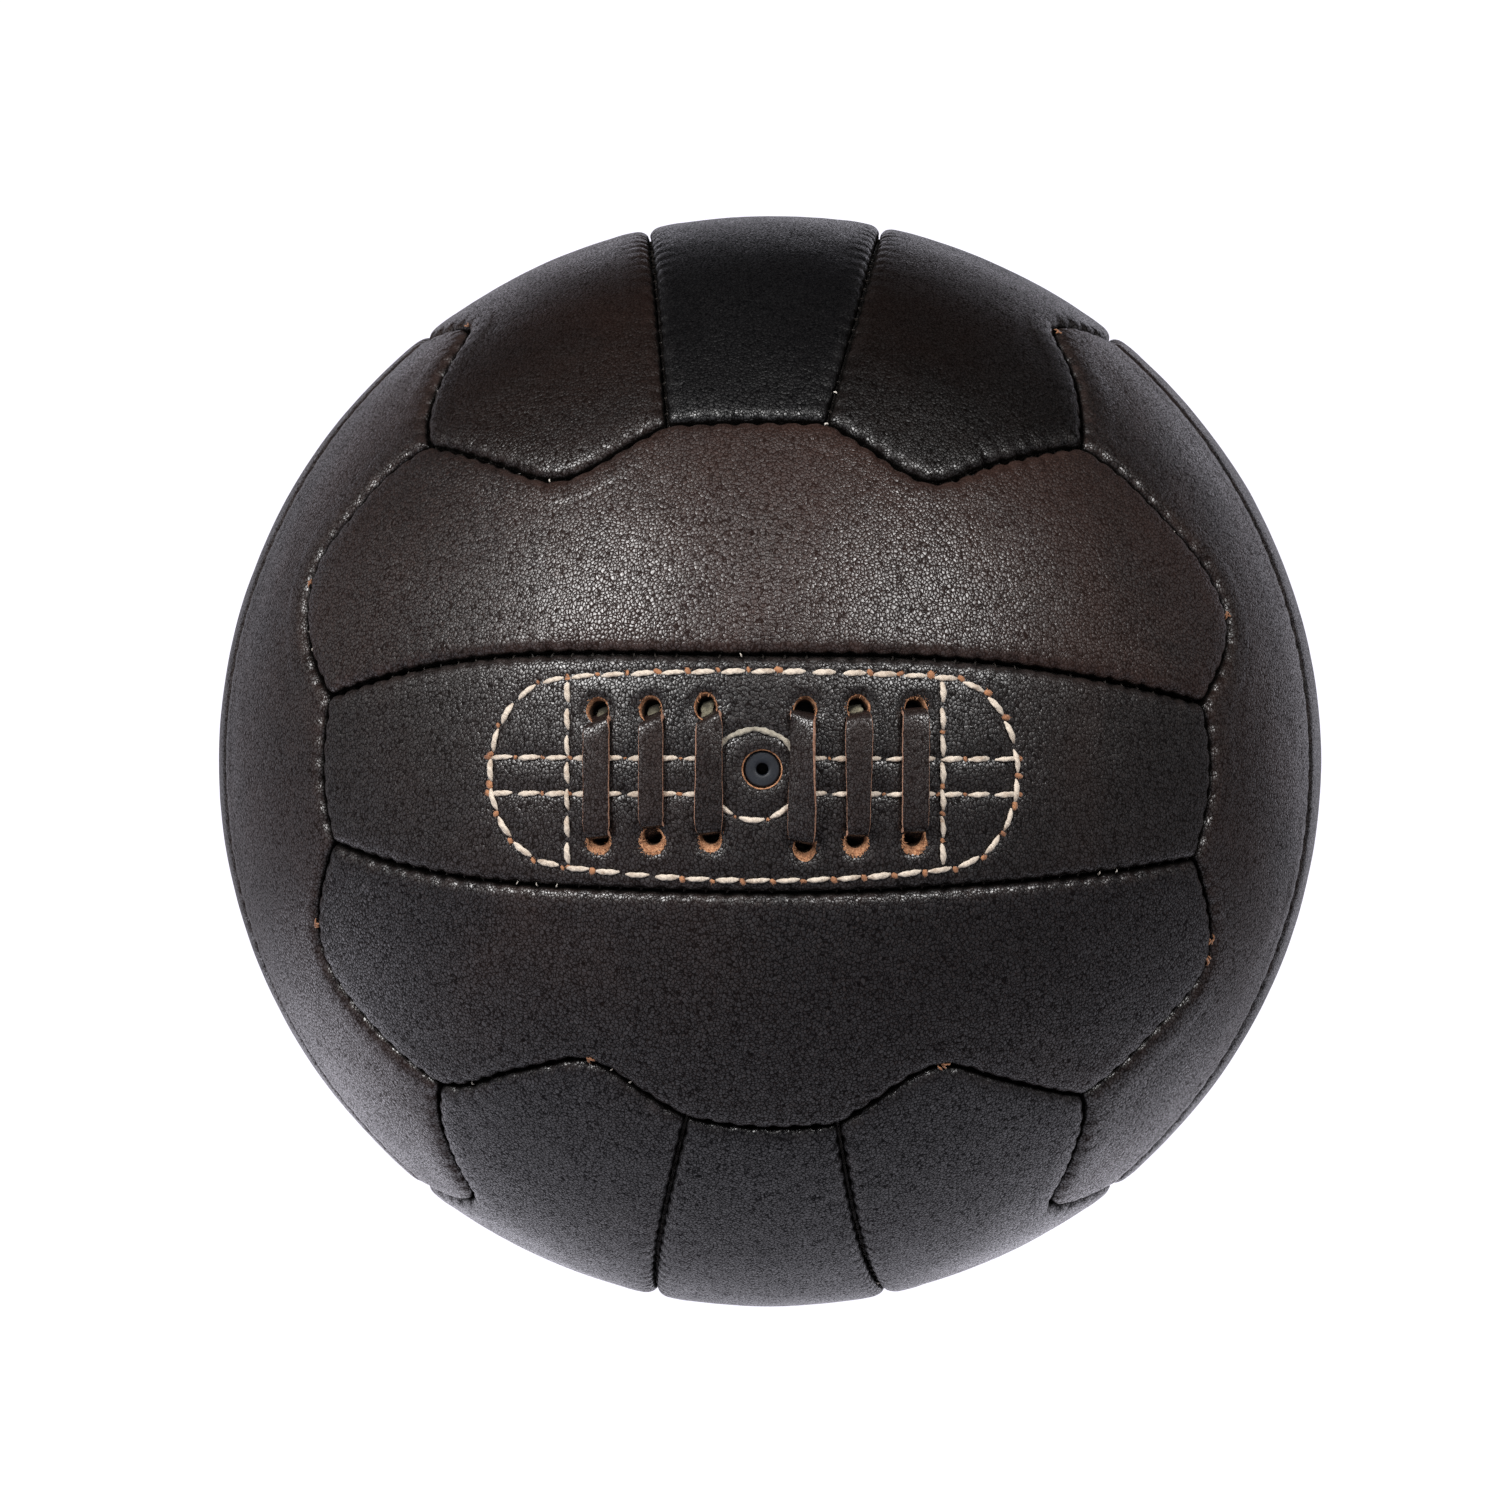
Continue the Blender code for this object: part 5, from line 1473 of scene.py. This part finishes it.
# --------------------------------------------------------------------- valve
# Half section of the plug: radius, distance from the ball's centre towards -Y.
CORE_PROFILE = [
    (0.0, 101.0), (0.9, 101.1), (1.08, 103.0), (1.14, 107.6), (1.17, 108.60), (1.22, 108.76),
    (1.36, 108.86), (1.8, 108.93), (2.4, 108.96), (2.9, 108.93),
    *((3.02 + 0.38 * math.cos(math.radians(a)), 108.55 + 0.38 * math.sin(math.radians(a)))
      for a in np.linspace(84, 8, 7)),
    (3.39, 108.3), (3.36, 108.15), (2.0, 108.12), (1.98, 106.0), (2.06, 105.7), (2.06, 105.3),
    (1.95, 105.0), (1.95, 99.2), (1.75, 98.7), (1.3, 98.5), (0.0, 98.5),
]


def valve_core(steps=96):
    """The half section revolved round the valve's pull axis."""
    verts, faces = [], []
    size = len(CORE_PROFILE)
    for k in range(steps):
        angle = 2 * math.pi * k / steps
        verts += [(VALVE[0] + radius * math.cos(angle), -height, VALVE[1] + radius * math.sin(angle))
                  for radius, height in CORE_PROFILE]
        near, far = k * size, (k + 1) % steps * size
        faces += [(near + j, far + j, far + j + 1, near + j + 1) for j in range(size - 1)]
    ob = add_piece("valve_core_plug", verts, faces, [core_rubber])
    orient(ob, merge=0.000004)
    ob.data.set_sharp_from_angle(angle=math.radians(60))
    return ob


core = valve_core()


# ------------------------------------------------- bodies and CAD finishes
def register(ob, body, slot, *replaced):
    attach(ob, body)
    if replaced:
        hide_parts(*replaced)


for name, ob in panels.items():
    register(ob, "ball", "panel_leather", name)
register(patch, "ball", "patch_leather", "lacing_reinforcement_patch")
register(rims, "ball", "panel_leather")
register(lace, "ball", "lace_leather", "leather_lace")
register(flaps, "ball", "lace_leather")
for ob, replaced in stitching:
    register(ob, "ball", "waxed_thread", *replaced)
register(seams, "ball", "waxed_thread", "seam_thread")
register(core, "valve_core", "valve_rubber", "valve_core")
for name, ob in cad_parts.items():
    if ob.hide_render:
        continue
    if "lining" in name:
        look = backing
    elif name == "air_bladder":
        look = bladder_rubber
    else:
        look = housing_rubber
    ob.data.materials.clear()
    ob.data.materials.append(look)

# ------------------------------------------------------- the stage, in metres
WALL_LEVEL, FLOOR_LEVEL = 1.0, 1.0             # strength of the surround's light
WALL_SEEN, FLOOR_SEEN = 1.06, 1.09             # brightness shown to the camera
HALF_WIDTH = 7.0
COVE_Y, COVE_RADIUS = 3.0, 1.2                 # curve from the floor up to the backdrop


def stage_floor():
    low_z = min(v.co.z for v in panels["bottom_centre_strip"].data.vertices)
    profile = [(-4.0, 0.0), (COVE_Y, 0.0)]
    profile += [(COVE_Y + COVE_RADIUS * math.sin(math.radians(a)),
                 COVE_RADIUS - COVE_RADIUS * math.cos(math.radians(a))) for a in range(9, 91, 9)]
    profile += [(COVE_Y + COVE_RADIUS, 5.0)]
    verts = [(x, y, low_z + z) for x in (-HALF_WIDTH, HALF_WIDTH) for y, z in profile]
    size = len(profile)
    mesh = bpy.data.meshes.new("floor_and_backdrop")
    mesh.from_pydata(verts, [], [(j, size + j, size + j + 1, j + 1) for j in range(size - 1)])
    for poly in mesh.polygons:
        poly.use_smooth = True
    return link_object("floor_and_backdrop", mesh)


def studio_paper():
    """Pale paper; its glow is linked to the studio's levels further down."""
    nodes = Material("pale_studio_paper")
    fine = nodes.noise(nodes.coord, scale=60.0, detail=3.0)
    tone = nodes.mix(fine, (0.055, 0.055, 0.058), (0.062, 0.062, 0.065))
    nodes.finish(tone, 0.9, Emission_Color=(0.97, 0.95, 1.06, 1.0), Emission_Strength=0.62,
                 Specular_IOR_Level=0.0)
    return nodes


def softbox(name, azimuth, elevation, wide, tall, power, distance=1.6, tint=(1.0, 0.99, 0.98)):
    """A rectangular light aimed at the ball; azimuth runs from -Y towards +X."""
    light = bpy.data.lights.new(name, "AREA")
    light.shape, light.size, light.size_y = "RECTANGLE", wide, tall
    light.energy, light.color = power, tint
    ob = link_object(name, light)
    turn, rise = math.radians(azimuth), math.radians(elevation)
    spot = Vector((math.sin(turn) * math.cos(rise), -math.cos(turn) * math.cos(rise),
                   math.sin(rise))) * distance
    ob.location = spot
    ob.rotation_mode = "QUATERNION"
    ob.rotation_quaternion = (-spot).to_track_quat("-Z", "Y")
    ob.visible_camera = False


def surround(nodes, direction, place=None):
    """Brightness of the studio seen in a direction: white walls behind and
    beside the ball, a dark ceiling and a dim camera side. Given the place
    on the floor, it adds the white card there instead of the front canopy."""
    ease, times = nodes.ease, nodes.times
    x, y, z = nodes.axes(direction)
    side = ease(x, (-0.70, 0.75), to=(0.42, 0.14))
    rim = times(times(side, ease(y, (-0.25, 0.22), to=(1.0, 0.80))),
                ease(y, (0.60, 0.85), to=(1.0, 1.7)))
    top_rim = times(ease(y, (0.78, 0.93), to=(0.0, 1.05)), ease(z, (0.14, 0.32)))
    right_rim = times(ease(x, (0.08, 0.50)), ease(y, (0.60, 0.93), to=(0.04, 0.85)))
    total = nodes.math("ADD", nodes.math("ADD", rim, top_rim), right_rim)
    walls = times(total, ease(z, (0.30, 0.54), to=(1.0, 0.03)))
    if place is not None:
        # white card under the ball: bright from just in front of it backwards
        place_x, place_y, _ = nodes.axes(place)
        distance = nodes.vector("LENGTH", place)
        card = times(ease(place_y, (-0.145, -0.055)), ease(place_x, (0.05, 0.20), to=(1.0, 0.25)))
        shine = ease(place_y, (-0.05, 0.03), to=(0.66, 1.8))
        return nodes.blend(ease(distance, (0.24, 0.42)), nodes.blend(card, side, shine), walls)
    # broad front canopy between the two softboxes
    tilt = nodes.math("MULTIPLY_ADD", z, 0.8, y)
    canopy = times(times(ease(x, (-0.75, 0.85), to=(0.85, 0.50)),
                         ease(tilt, (0.34, 0.78), to=(1.0, 0.0))), ease(z, (0.02, 0.34)))
    return nodes.math("MAXIMUM", walls, canopy)


def glow(nodes, level, strength, seen):
    """An even brightness towards the camera, the surround for all other rays."""
    ray = nodes.new("ShaderNodeLightPath").outputs["Is Camera Ray"]
    return nodes.blend(ray, nodes.times(level, strength), seen)


def studio_world():
    world = bpy.data.worlds.new("studio_surround")
    bpy.context.scene.world = world
    world.use_nodes = True
    nodes = Graph(world.node_tree)
    background = nodes.tree.nodes["Background"]
    level = surround(nodes, nodes.new("ShaderNodeTexCoord").outputs["Generated"])
    nodes.link(glow(nodes, level, WALL_LEVEL, WALL_SEEN), background.inputs["Strength"])
    background.inputs["Color"].default_value = (1.0, 0.985, 0.99, 1.0)


floor = stage_floor()
paper = studio_paper()
floor.data.materials.append(paper.mat)
softbox("left_softbox", azimuth=-37.0, elevation=30.0, wide=0.62, tall=0.80, power=27.0)
softbox("right_softbox", azimuth=35.0, elevation=31.0, wide=0.58, tall=0.62, power=19.0)
studio_world()
level = surround(paper, paper.vector("NORMALIZE", paper.coord), place=paper.coord)
paper.link(glow(paper, level, FLOOR_LEVEL, FLOOR_SEEN), paper.shader.inputs["Emission Strength"])

# ----------------------------------------------------------------- the camera
CAMERA_DISTANCE = 2.53
camera_data = bpy.data.cameras.new("camera")
camera_data.sensor_width = 36.0
camera_data.lens = 303.9
camera_data.shift_x = -0.01333333
camera_data.shift_y = 0.00733333
camera = link_object("camera", camera_data)
toward_camera = Vector((0.0255, -0.9993, 0.0262)).normalized()
camera.location = toward_camera * CAMERA_DISTANCE
camera.rotation_mode = "QUATERNION"
camera.rotation_quaternion = (-toward_camera).to_track_quat("-Z", "Y")
scene = bpy.context.scene
scene.camera = camera
scene.view_settings.view_transform = "Standard"
scene.view_settings.look = "None"
